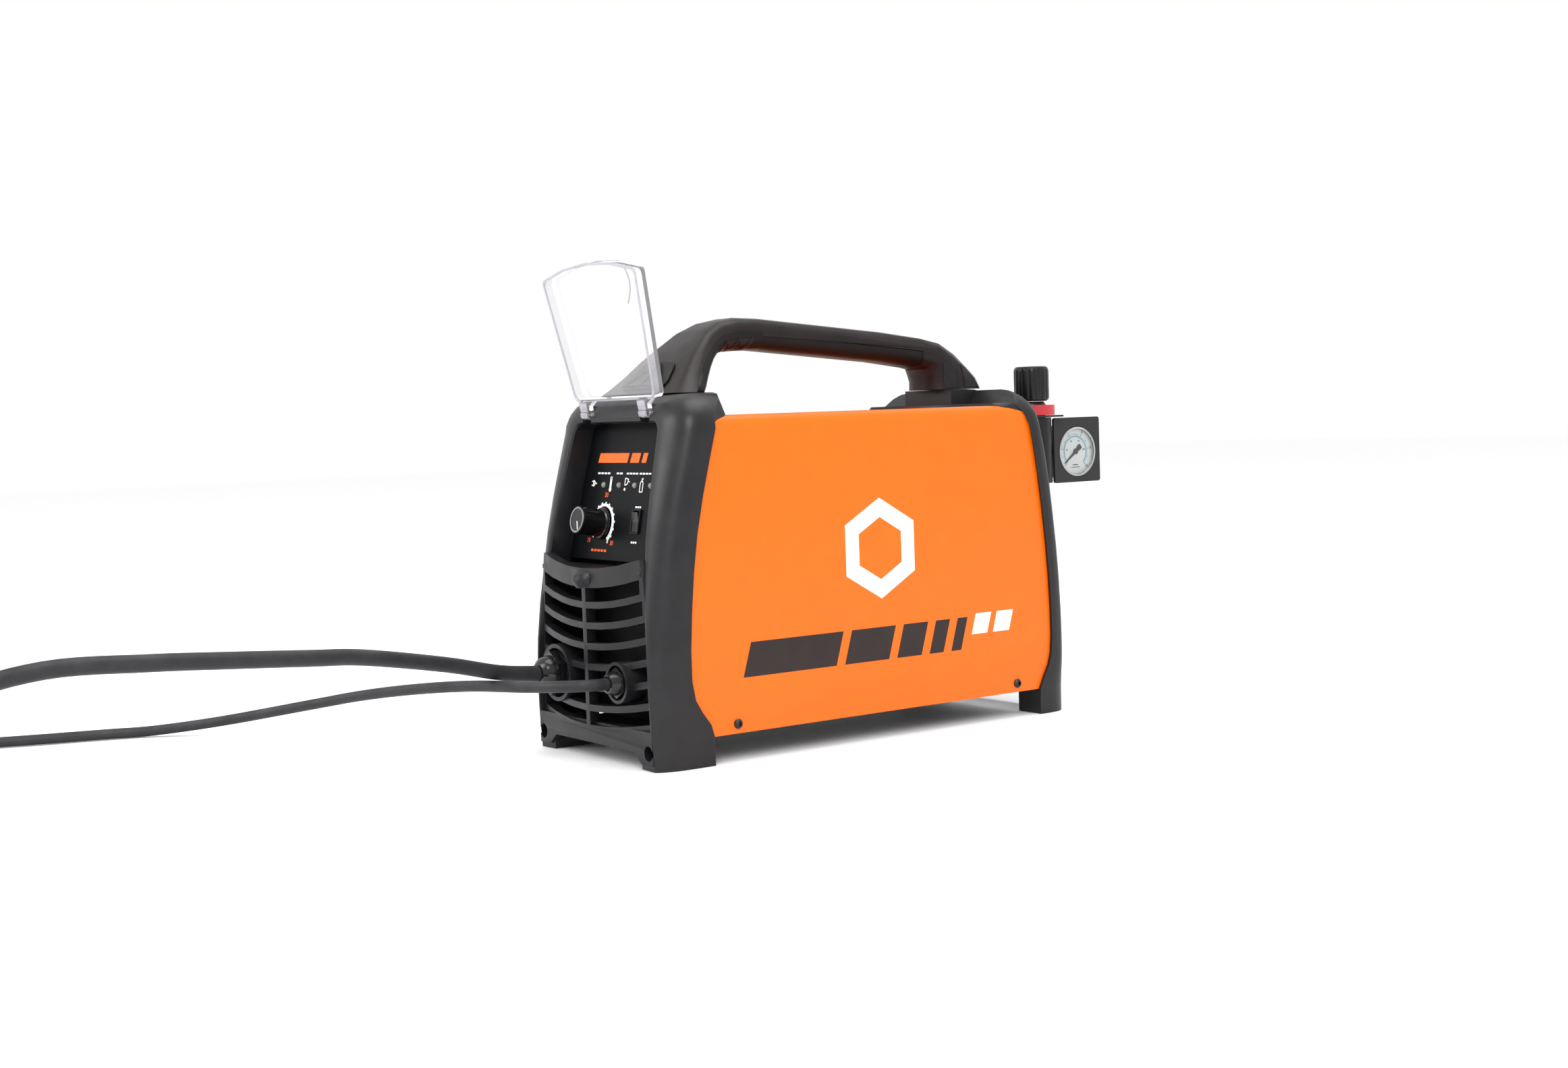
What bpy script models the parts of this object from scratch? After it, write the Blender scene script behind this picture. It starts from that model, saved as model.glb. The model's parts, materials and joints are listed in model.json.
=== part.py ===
"""Plasma cutter unit with its torch, work lead and rear regulator.

Metres, +Z up. The front faces -Y. The pieces are placed from the middle of the case, then an empty
moves them so that the origin is on the floor under the middle of the case and its rear gauge.
"""

import bpy
import bmesh
import math
from mathutils import Matrix, Vector

# Case
cover_half = 0.0856
cover_top = 0.2480
cover_bottom = 0.0200
cover_corner = 0.0080
sheet = 0.0012
gap = 0.0003
bezel_half = 0.0883
screw_height = 0.0270
front_screw_y = -0.1360
rear_screw_y = 0.1340
tray_half_length = 0.1490

# Front bezel
front_top = 0.2645
rim_top = 0.2450
shelf_height = 0.1402
sill_height = 0.0280
foot_inner = 0.0620
foot_top = 0.0192
foot_hole_x = 0.0750
foot_hole_height = 0.0127
foot_hole_radius = 0.0055
ring_height = 0.0605
torch_ring_x = -0.0428
torch_ring_radius = 0.0215
work_ring_x = 0.0435
work_ring_radius = 0.0150
ring_face = -0.2108
slot_count = 7
slot_first_top = 0.1262
slot_pitch = 0.0150
slot_tall = 0.0102
rib_half = 0.0025

# Control panel, in its own slope
panel_point = Vector((0, -0.1760, 0.1700))
panel_slope = math.radians(11.5)
knob_x = -0.0256
knob_radius = 0.0102
knob_length = 0.0225
rocker_x = 0.0220
rocker_up = 0.0026
rocker_throw = math.radians(8)
led_up = 0.0293
led_places = (-0.0318, -0.0098, 0.0122, 0.0342)

# Lid
lid_axis = Vector((0, -0.1755, 0.2515))
lid_lean = math.radians(12)
lid_hinge_half = 0.0560
lid_free_half = 0.0660
lid_start = 0.0095
lid_corner = 0.1030
lid_peak = 0.1115
lid_bow = 0.0022
lid_outer = 0.0086
lid_plate = 0.0020
lid_wall = 0.0018
lid_rim = 0.0006
lug_x = 0.0410
lug_half = 0.0050
lug_thick = 0.0026
pin_half = 0.0080
pin_radius = 0.0012
knuckle_radius = 0.0036

# Rear
rear_top = 0.2623
rear_panel_y = 0.1550
fan_height = 0.0850
fan_radius = 0.0370
regulator_x = 0.0243
regulator_y = 0.2150
regulator_radius = 0.0160
bracket_height = 0.2370
dial_y = 0.2550
dial_z = 0.2070
dial_radius = 0.0215
plate_half = 0.0264
gauge_front = 0.0360
needle_turn = math.radians(-128)

# Leads
torch_cord = 0.0115
work_cord = 0.0085
torch_exit_y = -0.2265
work_exit_y = -0.2185
torch_coil = (-0.0450, -0.8600)
torch_coil_inner = 0.0600
torch_coil_outer = 0.0970
torch_coil_tall = 0.0240
work_coil = (-0.3545, -0.6600)
work_coil_inner = 0.0485
work_coil_outer = 0.0757
work_coil_tall = 0.0176
torch_start = -0.1500
clamp_pivot = Vector((-0.2150, -0.7305, 0.0140))
clamp_back = -0.2600

torch_route = [
    (-0.0428, -0.2268, 0.0615),
    (-0.0428, -0.2580, 0.0654),
    (-0.0400, -0.3020, 0.0760),
    (-0.0150, -0.3750, 0.0905),
    (0.0010, -0.4200, 0.0958),
    (0.0150, -0.4800, 0.1016),
    (0.0250, -0.5350, 0.1063),
    (0.0310, -0.6000, 0.1090),
    (0.0340, -0.6550, 0.0980),
    (0.0370, -0.7050, 0.0700),
    (0.0415, -0.7500, 0.0340),
    (0.0450, -0.7850, 0.0110),
    (0.0455, -0.8110, 0.0061),
]
work_route = [
    (0.0435, -0.2188, 0.0605),
    (0.0410, -0.2400, 0.0612),
    (-0.0030, -0.2575, 0.0584),
    (-0.0670, -0.2680, 0.0543),
    (-0.1300, -0.2820, 0.0477),
    (-0.1920, -0.2990, 0.0388),
    (-0.2450, -0.3220, 0.0285),
    (-0.3230, -0.3650, 0.0125),
    (-0.3640, -0.4080, 0.0052),
    (-0.3800, -0.4440, 0.0046),
    (-0.3960, -0.4930, 0.0046),
    (-0.4150, -0.5450, 0.0046),
    (-0.4245, -0.5900, 0.0046),
    (-0.4250, -0.6226, 0.0046),
]

# Heights and depths of the bezels: (z, y) or (z, half width)
front_face = [
    (0, -0.2040),
    (0.03, -0.2058),
    (0.08, -0.2057),
    (0.14, -0.2000),
    (0.18, -0.1928),
    (0.265, -0.1720),
]
front_edge = [
    (0, -0.1580),
    (0.026, -0.1590),
    (0.046, -0.1720),
    (0.066, -0.1755),
    (0.11, -0.1735),
    (0.16, -0.1675),
    (0.205, -0.1575),
    (0.236, -0.1485),
    (0.250, -0.1465),
    (0.265, -0.1320),
]
front_width = [(0, 0.0790), (0.06, 0.0780), (0.10, 0.0750), (0.14, 0.0690), (0.24, 0.0590)]
rear_face = [(0, 0.1870), (0.05, 0.1880), (0.11, 0.1865), (0.16, 0.1825), (0.215, 0.1755), (0.265, 0.1630)]
rear_edge = [
    (0, 0.1570),
    (0.020, 0.1570),
    (0.041, 0.1680),
    (0.060, 0.1710),
    (0.11, 0.1695),
    (0.16, 0.1645),
    (0.21, 0.1570),
    (0.237, 0.1505),
    (0.250, 0.1400),
    (0.265, 0.1180),
]
rear_width = [(0, 0.0770), (0.10, 0.0750), (0.24, 0.0660)]

# Heights at which each side of a bezel has a point
side_heights = (0, 0.010, 0.020, 0.029, 0.038, 0.047, 0.060, 0.080, 0.105, 0.130, 0.155, 0.180, 0.205, 0.225)


def clear_scene():
    for old in list(bpy.data.objects):
        bpy.data.objects.remove(old)


def new_collection(name, hidden=False):
    made = bpy.data.collections.new(name)
    bpy.context.scene.collection.children.link(made)
    made.hide_render = hidden
    return made


clear_scene()
parts = new_collection("plasma_cutter")
cutters = new_collection("cutters", hidden=True)
palette = {
    "shell": ((0.060, 0.060, 0.066, 1), 0.55, 0.0),
    "orange": ((0.90, 0.22, 0.02, 1), 0.35, 0.2),
    "black": ((0.015, 0.015, 0.017, 1), 0.40, 0.0),
    "clear": ((0.90, 0.90, 0.92, 1), 0.05, 0.0),
    "steel": ((0.55, 0.55, 0.56, 1), 0.35, 1.0),
    "white": ((0.85, 0.85, 0.82, 1), 0.45, 0.0),
    "red": ((0.70, 0.06, 0.08, 1), 0.40, 0.0),
    "brass": ((0.75, 0.55, 0.25, 1), 0.30, 1.0),
    "green": ((0.03, 0.20, 0.08, 1), 0.50, 0.0),
    "cord": ((0.045, 0.045, 0.050, 1), 0.60, 0.0),
}


def material(kind):
    found = bpy.data.materials.get(kind)
    if found:
        return found
    colour, roughness, metallic = palette[kind]
    made = bpy.data.materials.new(kind)
    made.use_nodes = True
    surface = made.node_tree.nodes["Principled BSDF"]
    surface.inputs["Base Color"].default_value = colour
    surface.inputs["Roughness"].default_value = roughness
    surface.inputs["Metallic"].default_value = metallic
    return made


def add(name, mesh, kind=None):
    """Links a mesh as a part, or as a hidden cutter when it has no material."""
    obj = bpy.data.objects.new(name, mesh)
    if kind:
        mesh.materials.clear()
        mesh.materials.append(material(kind))
        parts.objects.link(obj)
    else:
        cutters.objects.link(obj)
        obj.hide_render = True
        obj.display_type = "WIRE"
    mesh.shade_smooth()
    mesh.set_sharp_from_angle(angle=math.radians(35))
    return obj


def mesh_of(bm, name):
    bmesh.ops.recalc_face_normals(bm, faces=bm.faces[:])
    if bm.calc_volume(signed=True) < 0:
        bmesh.ops.reverse_faces(bm, faces=bm.faces[:])
    mesh = bpy.data.meshes.new(name)
    bm.to_mesh(mesh)
    bm.free()
    return mesh


def bevel(obj, width, segments=2):
    rounding = obj.modifiers.new("Rounding", "BEVEL")
    rounding.width = width
    rounding.segments = segments
    rounding.limit_method = "ANGLE"
    rounding.angle_limit = math.radians(40)


def boolean(obj, other, operation):
    step = obj.modifiers.new(operation.title(), "BOOLEAN")
    step.operation = operation
    step.object = other
    step.solver = "EXACT"


def cut(obj, *others):
    for other in others:
        boolean(obj, other, "DIFFERENCE")


def join(obj, *others):
    for other in others:
        boolean(obj, other, "UNION")


def set_origin(obj, point):
    obj.data.transform(Matrix.Translation(-Vector(point)))
    obj.location = point


def aim(direction):
    return Vector((0, 0, 1)).rotation_difference(Vector(direction)).to_matrix().to_4x4()


def box(name, low, high, kind=None, rounding=0.0):
    bm = bmesh.new()
    bmesh.ops.create_cube(bm, size=1)
    size = [b - a for a, b in zip(low, high)]
    middle = [(a + b) / 2 for a, b in zip(low, high)]
    bmesh.ops.scale(bm, vec=size, verts=bm.verts)
    bmesh.ops.translate(bm, vec=middle, verts=bm.verts)
    obj = add(name, mesh_of(bm, name), kind)
    if rounding:
        bevel(obj, rounding)
    return obj


def rod(name, start, direction, length, radius, kind=None, sides=20, end_radius=None):
    bm = bmesh.new()
    bmesh.ops.create_cone(
        bm,
        cap_ends=True,
        segments=sides,
        radius1=radius,
        radius2=radius if end_radius is None else end_radius,
        depth=length,
    )
    turn = aim(direction)
    middle = Vector(start) + Vector(direction).normalized() * length / 2
    bm.transform(Matrix.Translation(middle) @ turn)
    return add(name, mesh_of(bm, name), kind)


def turned(name, profile, start, direction, kind=None, steps=20, ring=False):
    """Turns a (radius, height) profile, listed from the top down its outer side, about direction."""
    mesh = bpy.data.meshes.new(name)
    points = [(radius, 0, height) for radius, height in profile]
    edges = [(i, i + 1) for i in range(len(points) - 1)]
    if ring:
        edges.append((len(points) - 1, 0))
    mesh.from_pydata(points, edges, [])
    obj = add(name, mesh, kind)
    obj.matrix_world = Matrix.Translation(Vector(start)) @ aim(direction)
    screw = obj.modifiers.new("Turn", "SCREW")
    screw.steps = steps
    screw.render_steps = steps
    screw.use_merge_vertices = True
    screw.merge_threshold = 0.00001
    screw.use_smooth_shade = True
    return obj


front_view = Matrix.Rotation(math.pi / 2, 4, "X")
side_view = Matrix(((0, 0, 1, 0), (1, 0, 0, 0), (0, 1, 0, 0), (0, 0, 0, 1)))
plan_view = Matrix.Identity(4)
panel_view = Matrix.Translation(panel_point) @ Matrix.Rotation(math.pi / 2 - panel_slope, 4, "X")


def plate(name, outline, low, high, view, kind=None):
    """Extrudes a flat outline between two depths along the world axis that the view looks down."""
    curve = bpy.data.curves.new(name, "CURVE")
    curve.dimensions = "2D"
    curve.fill_mode = "BOTH"
    curve.extrude = (high - low) / 2
    spline = curve.splines.new("POLY")
    spline.points.add(len(outline) - 1)
    for point, (x, y) in zip(spline.points, outline):
        point.co = (x, y, 0, 1)
    spline.use_cyclic_u = True
    guide = bpy.data.objects.new(name + "_outline", curve)
    cutters.objects.link(guide)
    graph = bpy.context.evaluated_depsgraph_get()
    mesh = bpy.data.meshes.new_from_object(guide.evaluated_get(graph))
    bpy.data.objects.remove(guide)
    middle = (low + high) / 2
    away = -middle if view == front_view else middle
    bm = bmesh.new()
    bm.from_mesh(mesh)
    bmesh.ops.remove_doubles(bm, verts=bm.verts, dist=0.000001)
    bm.transform(view @ Matrix.Translation((0, 0, away)))
    bpy.data.meshes.remove(mesh)
    return add(name, mesh_of(bm, name), kind)


def rounded(corners, steps=4):
    """Replaces each (x, y, radius) corner of a closed outline with an arc."""
    outline = []
    for i, (x, y, radius) in enumerate(corners):
        here = Vector((x, y))
        if radius == 0:
            outline.append((x, y))
            continue
        before = (Vector(corners[i - 1][:2]) - here).normalized()
        after = (Vector(corners[(i + 1) % len(corners)][:2]) - here).normalized()
        half = before.angle(after) / 2
        reach = radius / math.tan(half)
        centre = here + (before + after).normalized() * radius / math.sin(half)
        first = here + before * reach - centre
        last = here + after * reach - centre
        sweep = first.angle(last)
        for step in range(steps + 1):
            t = step / steps
            arm = first * math.sin((1 - t) * sweep) + last * math.sin(t * sweep)
            place = centre + arm / math.sin(sweep)
            outline.append((place.x, place.y))
    return outline


def smooth(table, value):
    """Reads a table of (place, size) with a curve that has no kinks."""
    if value <= table[0][0]:
        return table[0][1]
    if value >= table[-1][0]:
        return table[-1][1]
    i = max(k for k in range(len(table) - 1) if table[k][0] <= value)
    (a, low), (b, high) = table[i], table[i + 1]
    start = table[i - 1] if i else table[i]
    end = table[i + 2] if i + 2 < len(table) else table[i + 1]
    in_slope = (high - start[1]) / (b - start[0])
    out_slope = (end[1] - low) / (end[0] - a)
    t = (value - a) / (b - a)
    span = b - a
    return (
        low * (1 + 2 * t) * (1 - t) ** 2
        + in_slope * span * t * (1 - t) ** 2
        + high * t * t * (3 - 2 * t)
        + out_slope * span * t * t * (t - 1)
    )


def arch(width, top, radius, flat_steps=2, arc_steps=5):
    """Half of an arch outline as (x, z), from the floor up its side and over to the middle."""
    side_top = top - radius
    last = side_heights[-1]
    stretch = side_top / last - 1
    points = []
    for z in side_heights:
        # The foot keeps its heights, and the stretch grows to its full value by the middle.
        height = z * (1 + stretch * min(1, 2 * z / last))
        points.append((width(height), height))
    edge = width(side_top)
    for step in range(arc_steps + 1):
        turn = math.pi / 2 * step / arc_steps
        points.append((edge - radius + radius * math.cos(turn), side_top + radius * math.sin(turn)))
    for step in range(1, flat_steps + 1):
        points.append(((edge - radius) * (1 - step / flat_steps), top))
    return points


def skin(rim, full, cover, face, edge, recess_y, layers):
    """Points of each loop of a bezel: layers name (from, to, blend, inset, depth)."""
    shapes = {"rim": rim, "full": full, "cover": cover}
    loops = []
    for first, second, blend, inset, depth in layers:
        half = []
        for i, (at, to) in enumerate(zip(shapes[first], shapes[second])):
            x = at[0] + (to[0] - at[0]) * blend
            z = at[1] + (to[1] - at[1]) * blend
            reach = max(full[i][0], 0.001)
            x -= inset * min(1, x / (0.5 * reach)) if x > 0 else 0
            z -= inset if i >= len(side_heights) + 3 else 0
            front = face(rim[i][1])
            back = recess_y(rim[i][1]) if depth == "recess" else front + (edge(full[i][1]) - front) * depth
            half.append((x, back, z))
        loops.append(half + [(-x, y, z) for x, y, z in reversed(half[:-1])])
    return loops


def loft(name, loops, kind=None, closed_loops=False, closed_stack=False):
    """Joins loops of equal length with quads; open ends are filled with one face each."""
    bm = bmesh.new()
    rings = [[bm.verts.new(point) for point in loop] for loop in loops]
    count = len(rings[0])
    stacks = list(zip(rings, rings[1:]))
    if closed_stack:
        stacks.append((rings[-1], rings[0]))
    for low, high in stacks:
        for i in range(count if closed_loops else count - 1):
            j = (i + 1) % count
            bm.faces.new((low[i], low[j], high[j], high[i]))
    if closed_stack:
        bm.faces.new([ring[0] for ring in rings])
        bm.faces.new([ring[-1] for ring in rings])
    else:
        bm.faces.new(rings[0])
        bm.faces.new(rings[-1])
    return add(name, mesh_of(bm, name), kind)


bezel_layers = [
    ("rim", "rim", 0, 0.0015, "recess"),
    ("rim", "rim", 0, 0.0003, 0.05),
    ("rim", "full", 0.03, 0, 0),
    ("rim", "full", 0.17, 0, 0),
    ("rim", "full", 0.36, 0, 0.04),
    ("rim", "full", 0.62, 0, 0.13),
    ("rim", "full", 0.85, 0, 0.28),
    ("rim", "full", 0.97, 0, 0.46),
    ("rim", "full", 1, 0, 0.70),
    ("rim", "full", 1, 0, 1),
    ("cover", "cover", 0, 0, 1),
    ("cover", "cover", 0, 0, 0.55),
    ("rim", "cover", 0.6, 0, 0.34),
    ("rim", "rim", 0, -0.0016, 0.30),
    ("rim", "rim", 0, -0.0003, "recess"),
]


def bezel(name, face_table, edge_table, width_table, top, shoulder, recess_y):
    rim = arch(lambda z: smooth(width_table, z), rim_top, 0.0090)
    full = arch(lambda z: bezel_half, top, shoulder)
    cover = arch(lambda z: cover_half + gap, cover_top + gap, cover_corner + gap)
    loops = skin(
        rim,
        full,
        cover,
        lambda z: smooth(face_table, z),
        lambda z: smooth(edge_table, z),
        recess_y,
        bezel_layers,
    )
    shell = loft(name, loops, "shell", closed_stack=True)
    corner = [loop[0][:2] for loop in loops[2:10]]
    return shell, corner


def feet(name, shell, corner, edge_y, face_y):
    for side in (-1, 1):
        outline = [(side * x, y) for x, y in corner]
        outline += [(side * foot_inner, edge_y), (side * foot_inner, face_y)]
        foot = plate(f"{name}_foot_{side}", outline, 0, foot_top, plan_view)
        join(shell, foot)


def sill_outline(half):
    """The bar between two feet, with an arch under its middle."""
    arch_side = [(half, sill_height, 0), (half, 0.0040, 0), (0.0655, 0.0040, 0.004), (0.0560, 0.0120, 0.004)]
    return rounded([(-x, z, radius) for x, z, radius in arch_side] + arch_side[::-1])


def arc_band(low, high, left, right, sag, steps=4):
    """Closed front-view outline between two smile-shaped arcs."""

    def lift(x):
        return sag * (x / 0.07) ** 2

    xs = [left + (right - left) * i / steps for i in range(steps + 1)]
    top = [(x, high + lift(x)) for x in xs]
    bottom = [(x, low + lift(x)) for x in reversed(xs)]
    return top + bottom


def front_bezel():
    shell, corner = bezel(
        "front_bezel",
        front_face,
        front_edge,
        front_width,
        front_top,
        0.026,
        lambda z: smooth(front_face, z) + 0.0200,
    )
    feet("front", shell, corner, smooth(front_edge, 0), smooth(front_face, 0) + 0.0010)
    join(shell, plate("sill", sill_outline(0.0800), -0.2056, -0.1960, front_view))
    join(shell, grille())
    for side in (-1, 1):
        mouth = (side * foot_hole_x, -0.2200, foot_hole_height)
        hole = rod(f"foot_hole_{side}", mouth, (0, 1, 0), 0.0400, foot_hole_radius)
        low = (side * lug_x - lug_half - 0.0010, -0.1860, 0.2415)
        high = (side * lug_x + lug_half + 0.0010, -0.1706, 0.2580)
        notch = box(f"lug_notch_{side}", low, high)
        start = Vector((side * lug_x, *lid_axis[1:])) - Vector((pin_half + 0.0005, 0, 0))
        bore = rod(f"pin_bore_{side}", start, (1, 0, 0), 2 * pin_half + 0.0010, pin_radius + 0.0005, sides=12)
        cut(shell, hole, notch, bore)
    return shell


def grille():
    """The louvred lower front: a bowed plate with slots, the shelf above it and the two lead rings."""
    bow = [(-0.0800, -0.2013), (-0.0540, -0.2055), (-0.0270, -0.2085), (0, -0.2096)]
    bow += [(-x, y) for x, y in reversed(bow[:-1])]
    back = [(x, y + 0.0080) for x, y in reversed(bow)]
    body = plate("grille", bow + back, sill_height - 0.0040, 0.1560, plan_view)
    heights = (0.0240, 0.0500, 0.0800, 0.1100, 0.1400)
    side = [(smooth(front_width, z) + 0.0010, z) for z in heights]
    top = [(x, shelf_height + 0.0090 * (x / 0.07) ** 2) for x in (0.0680, 0.0450, 0.0220, 0)]
    half = side + top
    frame = half + [(-x, z) for x, z in reversed(half[:-1])]
    boolean(body, plate("grille_frame", frame, -0.2300, -0.1850, front_view), "INTERSECT")
    shelf = [(-0.0695, -0.2040), (0.0695, -0.2040), (0.0695, -0.1795), (-0.0695, -0.1795)]
    join(body, plate("shelf", shelf, shelf_height - 0.0032, shelf_height, plan_view))
    tab = [(0, 0.0050), (0.0045, 0.0048), (0.0085, 0.0030), (0.0100, 0), (0.0085, -0.0060), (0, -0.0080)]
    finger = turned("finger_tab", tab, (0, -0.2080, 0.1345), (0, -0.35, 1), steps=16)
    join(body, finger)
    for row in range(slot_count):
        high = slot_first_top - slot_pitch * row
        reach = smooth(front_width, high) - 0.0035
        sag = 0.0090 - 0.0030 * row / (slot_count - 1)
        for side in (-1, 1):
            ends = sorted((side * rib_half, side * reach))
            outline = arc_band(high - slot_tall, high, *ends, sag)
            cut(body, plate(f"slot_{row}_{side}", outline, -0.2200, -0.1850, front_view))
    for name, x, radius, wall, bore in (
        ("torch", torch_ring_x, torch_ring_radius, 0.0030, 0.0127),
        ("work", work_ring_x, work_ring_radius, 0.0024, 0.0084),
    ):
        front = (x, ring_face, ring_height)
        boss = rod(f"{name}_boss", front, (0, 1, 0), 0.0175, radius, sides=28)
        mouth = (x, ring_face - 0.001, ring_height)
        well = rod(f"{name}_well", mouth, (0, 1, 0), 0.0160, radius - wall, sides=28)
        hole = rod(f"{name}_hole", front, (0, 1, 0), 0.0300, bore)
        join(body, boss)
        cut(body, well, hole)
    return body


def rear_bezel():
    shell, corner = bezel(
        "rear_bezel",
        rear_face,
        rear_edge,
        rear_width,
        rear_top,
        0.030,
        lambda z: rear_panel_y + 0.0020,
    )
    feet("rear", shell, corner, smooth(rear_edge, 0), smooth(rear_face, 0) - 0.0010)
    join(shell, plate("rear_sill", sill_outline(0.0780), 0.1790, 0.1872, front_view))
    # The crown stands up only under the handle, and slopes down to the cover beside it
    slope = [(0.1100, 0.2502), (0.1430, 0.2502), (0.1560, 0.2700), (0.1100, 0.2700)]
    for low, high in ((-0.1000, -0.0290), (0.0290, 0.1000)):
        cut(shell, plate(f"crown_slope_{low}", slope, low, high, side_view))
    return shell


def cover():
    outer = rounded(
        [
            (-cover_half, cover_bottom, 0),
            (-cover_half, cover_top, cover_corner),
            (cover_half, cover_top, cover_corner),
            (cover_half, cover_bottom, 0),
        ]
    )
    inner_half = cover_half - sheet
    inner = rounded(
        [
            (inner_half, cover_bottom, 0),
            (inner_half, cover_top - sheet, cover_corner - sheet),
            (-inner_half, cover_top - sheet, cover_corner - sheet),
            (-inner_half, cover_bottom, 0),
        ]
    )
    shell = plate("cover", outer + inner, -0.2000, 0.2000, front_view, "orange")
    tuck = 0.0050
    heights = [0.0100, 0.0300, 0.0400, 0.0500, 0.0700, 0.1100, 0.1600, 0.2050, 0.2360, 0.2600]
    front = [(smooth(front_edge, z) - tuck, z) for z in heights]
    rear = [(smooth(rear_edge, z) + tuck, z) for z in reversed(heights)]
    boolean(shell, plate("cover_ends", front + rear, -0.1200, 0.1200, side_view), "INTERSECT")
    for side in (-1, 1):
        for y in (front_screw_y, rear_screw_y):
            start = (side * 0.0700, y, screw_height)
            cut(shell, rod(f"cover_hole_{side}_{y}", start, (side, 0, 0), 0.0300, 0.0023, sides=12))
    return shell


def base_tray():
    half = cover_half - sheet - gap
    wall = 0.0014
    low = cover_bottom
    high = 0.0380
    outline = [(-half, high), (-half, low), (half, low), (half, high)]
    outline += [(half - wall, high), (half - wall, low + wall)]
    outline += [(-half + wall, low + wall), (-half + wall, high)]
    tray = plate("base_tray", outline, -tray_half_length, tray_half_length, front_view, "steel")
    for side in (-1, 1):
        for y in (front_screw_y, rear_screw_y):
            start = (side * 0.0700, y, screw_height)
            cut(tray, rod(f"tray_hole_{side}_{y}", start, (side, 0, 0), 0.0300, 0.0023, sides=12))
    return tray


def cover_screws():
    head = [(0, 0.0022), (0.0022, 0.0020), (0.0034, 0.0011), (0.0036, 0)]
    head += [(0.0020, 0), (0.0020, -0.0080), (0, -0.0080)]
    for side_name, side in (("left", -1), ("right", 1)):
        for end_name, y in (("front", front_screw_y), ("rear", rear_screw_y)):
            start = (side * (cover_half + gap), y, screw_height)
            turned(f"cover_screw_{side_name}_{end_name}", head, start, (side, 0, 0), "black", steps=12)


handle_stations = [
    ((-0.1570, 0.2648), (-0.1322, 0.2648), 0.0580),
    ((-0.1500, 0.2715), (-0.1262, 0.2690), 0.0515),
    ((-0.1410, 0.2800), (-0.1205, 0.2755), 0.0450),
    ((-0.1310, 0.2905), (-0.1140, 0.2830), 0.0385),
    ((-0.1205, 0.3000), (-0.1075, 0.2890), 0.0325),
    ((-0.1080, 0.3105), (-0.1000, 0.2935), 0.0265),
    ((-0.0940, 0.3175), (-0.0920, 0.2960), 0.0225),
    ((-0.0780, 0.3208), (-0.0790, 0.2970), 0.0200),
    ((-0.0550, 0.3202), (-0.0560, 0.2970), 0.0190),
    ((0.0000, 0.3155), (0.0000, 0.2925), 0.0190),
    ((0.0650, 0.3095), (0.0640, 0.2865), 0.0190),
    ((0.1050, 0.3045), (0.1020, 0.2815), 0.0195),
    ((0.1230, 0.3008), (0.1105, 0.2795), 0.0200),
    ((0.1400, 0.2920), (0.1112, 0.2740), 0.0208),
    ((0.1540, 0.2815), (0.1116, 0.2690), 0.0216),
    ((0.1640, 0.2720), (0.1118, 0.2655), 0.0224),
    ((0.1690, 0.2626), (0.1118, 0.2626), 0.0230),
]
grip_start = -0.0550
grip_end = 0.1020


def handle_loops(shrink=0.0):
    loops = []
    for outer, inner, half in handle_stations:
        out = Vector((0, *outer))
        into = Vector((0, *inner))
        deep = (out - into).length
        up = (out - into).normalized()
        radius = 0.38 * min(deep, 2 * half)
        corners = [(-half, 0, radius), (half, 0, radius), (half, deep, radius), (-half, deep, radius)]
        outline = rounded(corners, steps=3)
        loops.append([(x, *(into + up * z)[1:]) for x, z in outline])
    return loops


def grip_box(name, slack):
    """The lower half of the grip's stretch, which the soft grip fills."""
    outline = [
        (grip_start - slack, 0.2700),
        (grip_end + slack, 0.2700),
        (grip_end + slack, 0.2935 + slack),
        (grip_start - slack, 0.3085 + slack),
    ]
    return plate(name, outline, -0.0400, 0.0400, side_view)


def handle():
    shell = loft("handle_shell", handle_loops(), "shell", closed_loops=True)
    cut(shell, grip_box("grip_space", gap))
    grip = loft("handle_grip", handle_loops(), "black", closed_loops=True)
    boolean(grip, grip_box("grip_part", 0), "INTERSECT")
    lift = math.atan2(0.0255, 0.0260)
    slope = Matrix.Translation((0, -0.1570, 0.2648)) @ Matrix.Rotation(lift, 4, "X")
    outline = rounded(
        [
            (-0.0330, 0.0050, 0.006),
            (0.0330, 0.0050, 0.006),
            (0.0190, 0.0330, 0.012),
            (-0.0190, 0.0330, 0.012),
        ]
    )
    plate("handle_inlay", outline, 0.0004, 0.0014, slope, "black")


def control_panel():
    outline = [(-0.0668, -0.0268), (0.0668, -0.0268), (0.0570, 0.0712), (-0.0570, 0.0712)]
    face = plate("control_panel", outline, -0.0020, 0, panel_view, "black")
    cut(face, rod("shaft_hole", panel_at(knob_x, 0, -0.0050), panel_out(), 0.0100, 0.0040))
    low, high = rocker_up - 0.0080, rocker_up + 0.0080
    left = rocker_x - 0.0046
    right = rocker_x + 0.0046
    window = [(left, low), (right, low), (right, high), (left, high)]
    cut(face, plate("rocker_window", window, -0.0060, 0.0040, panel_view))
    for i, x in enumerate(led_places):
        cut(face, rod(f"led_hole_{i}", panel_at(x, led_up, -0.0050), panel_out(), 0.0100, 0.0028, sides=16))
    return face


def panel_at(x, up, out):
    return panel_view @ Vector((x, up, out))


def panel_out():
    return panel_view.to_3x3() @ Vector((0, 0, 1))


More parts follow.
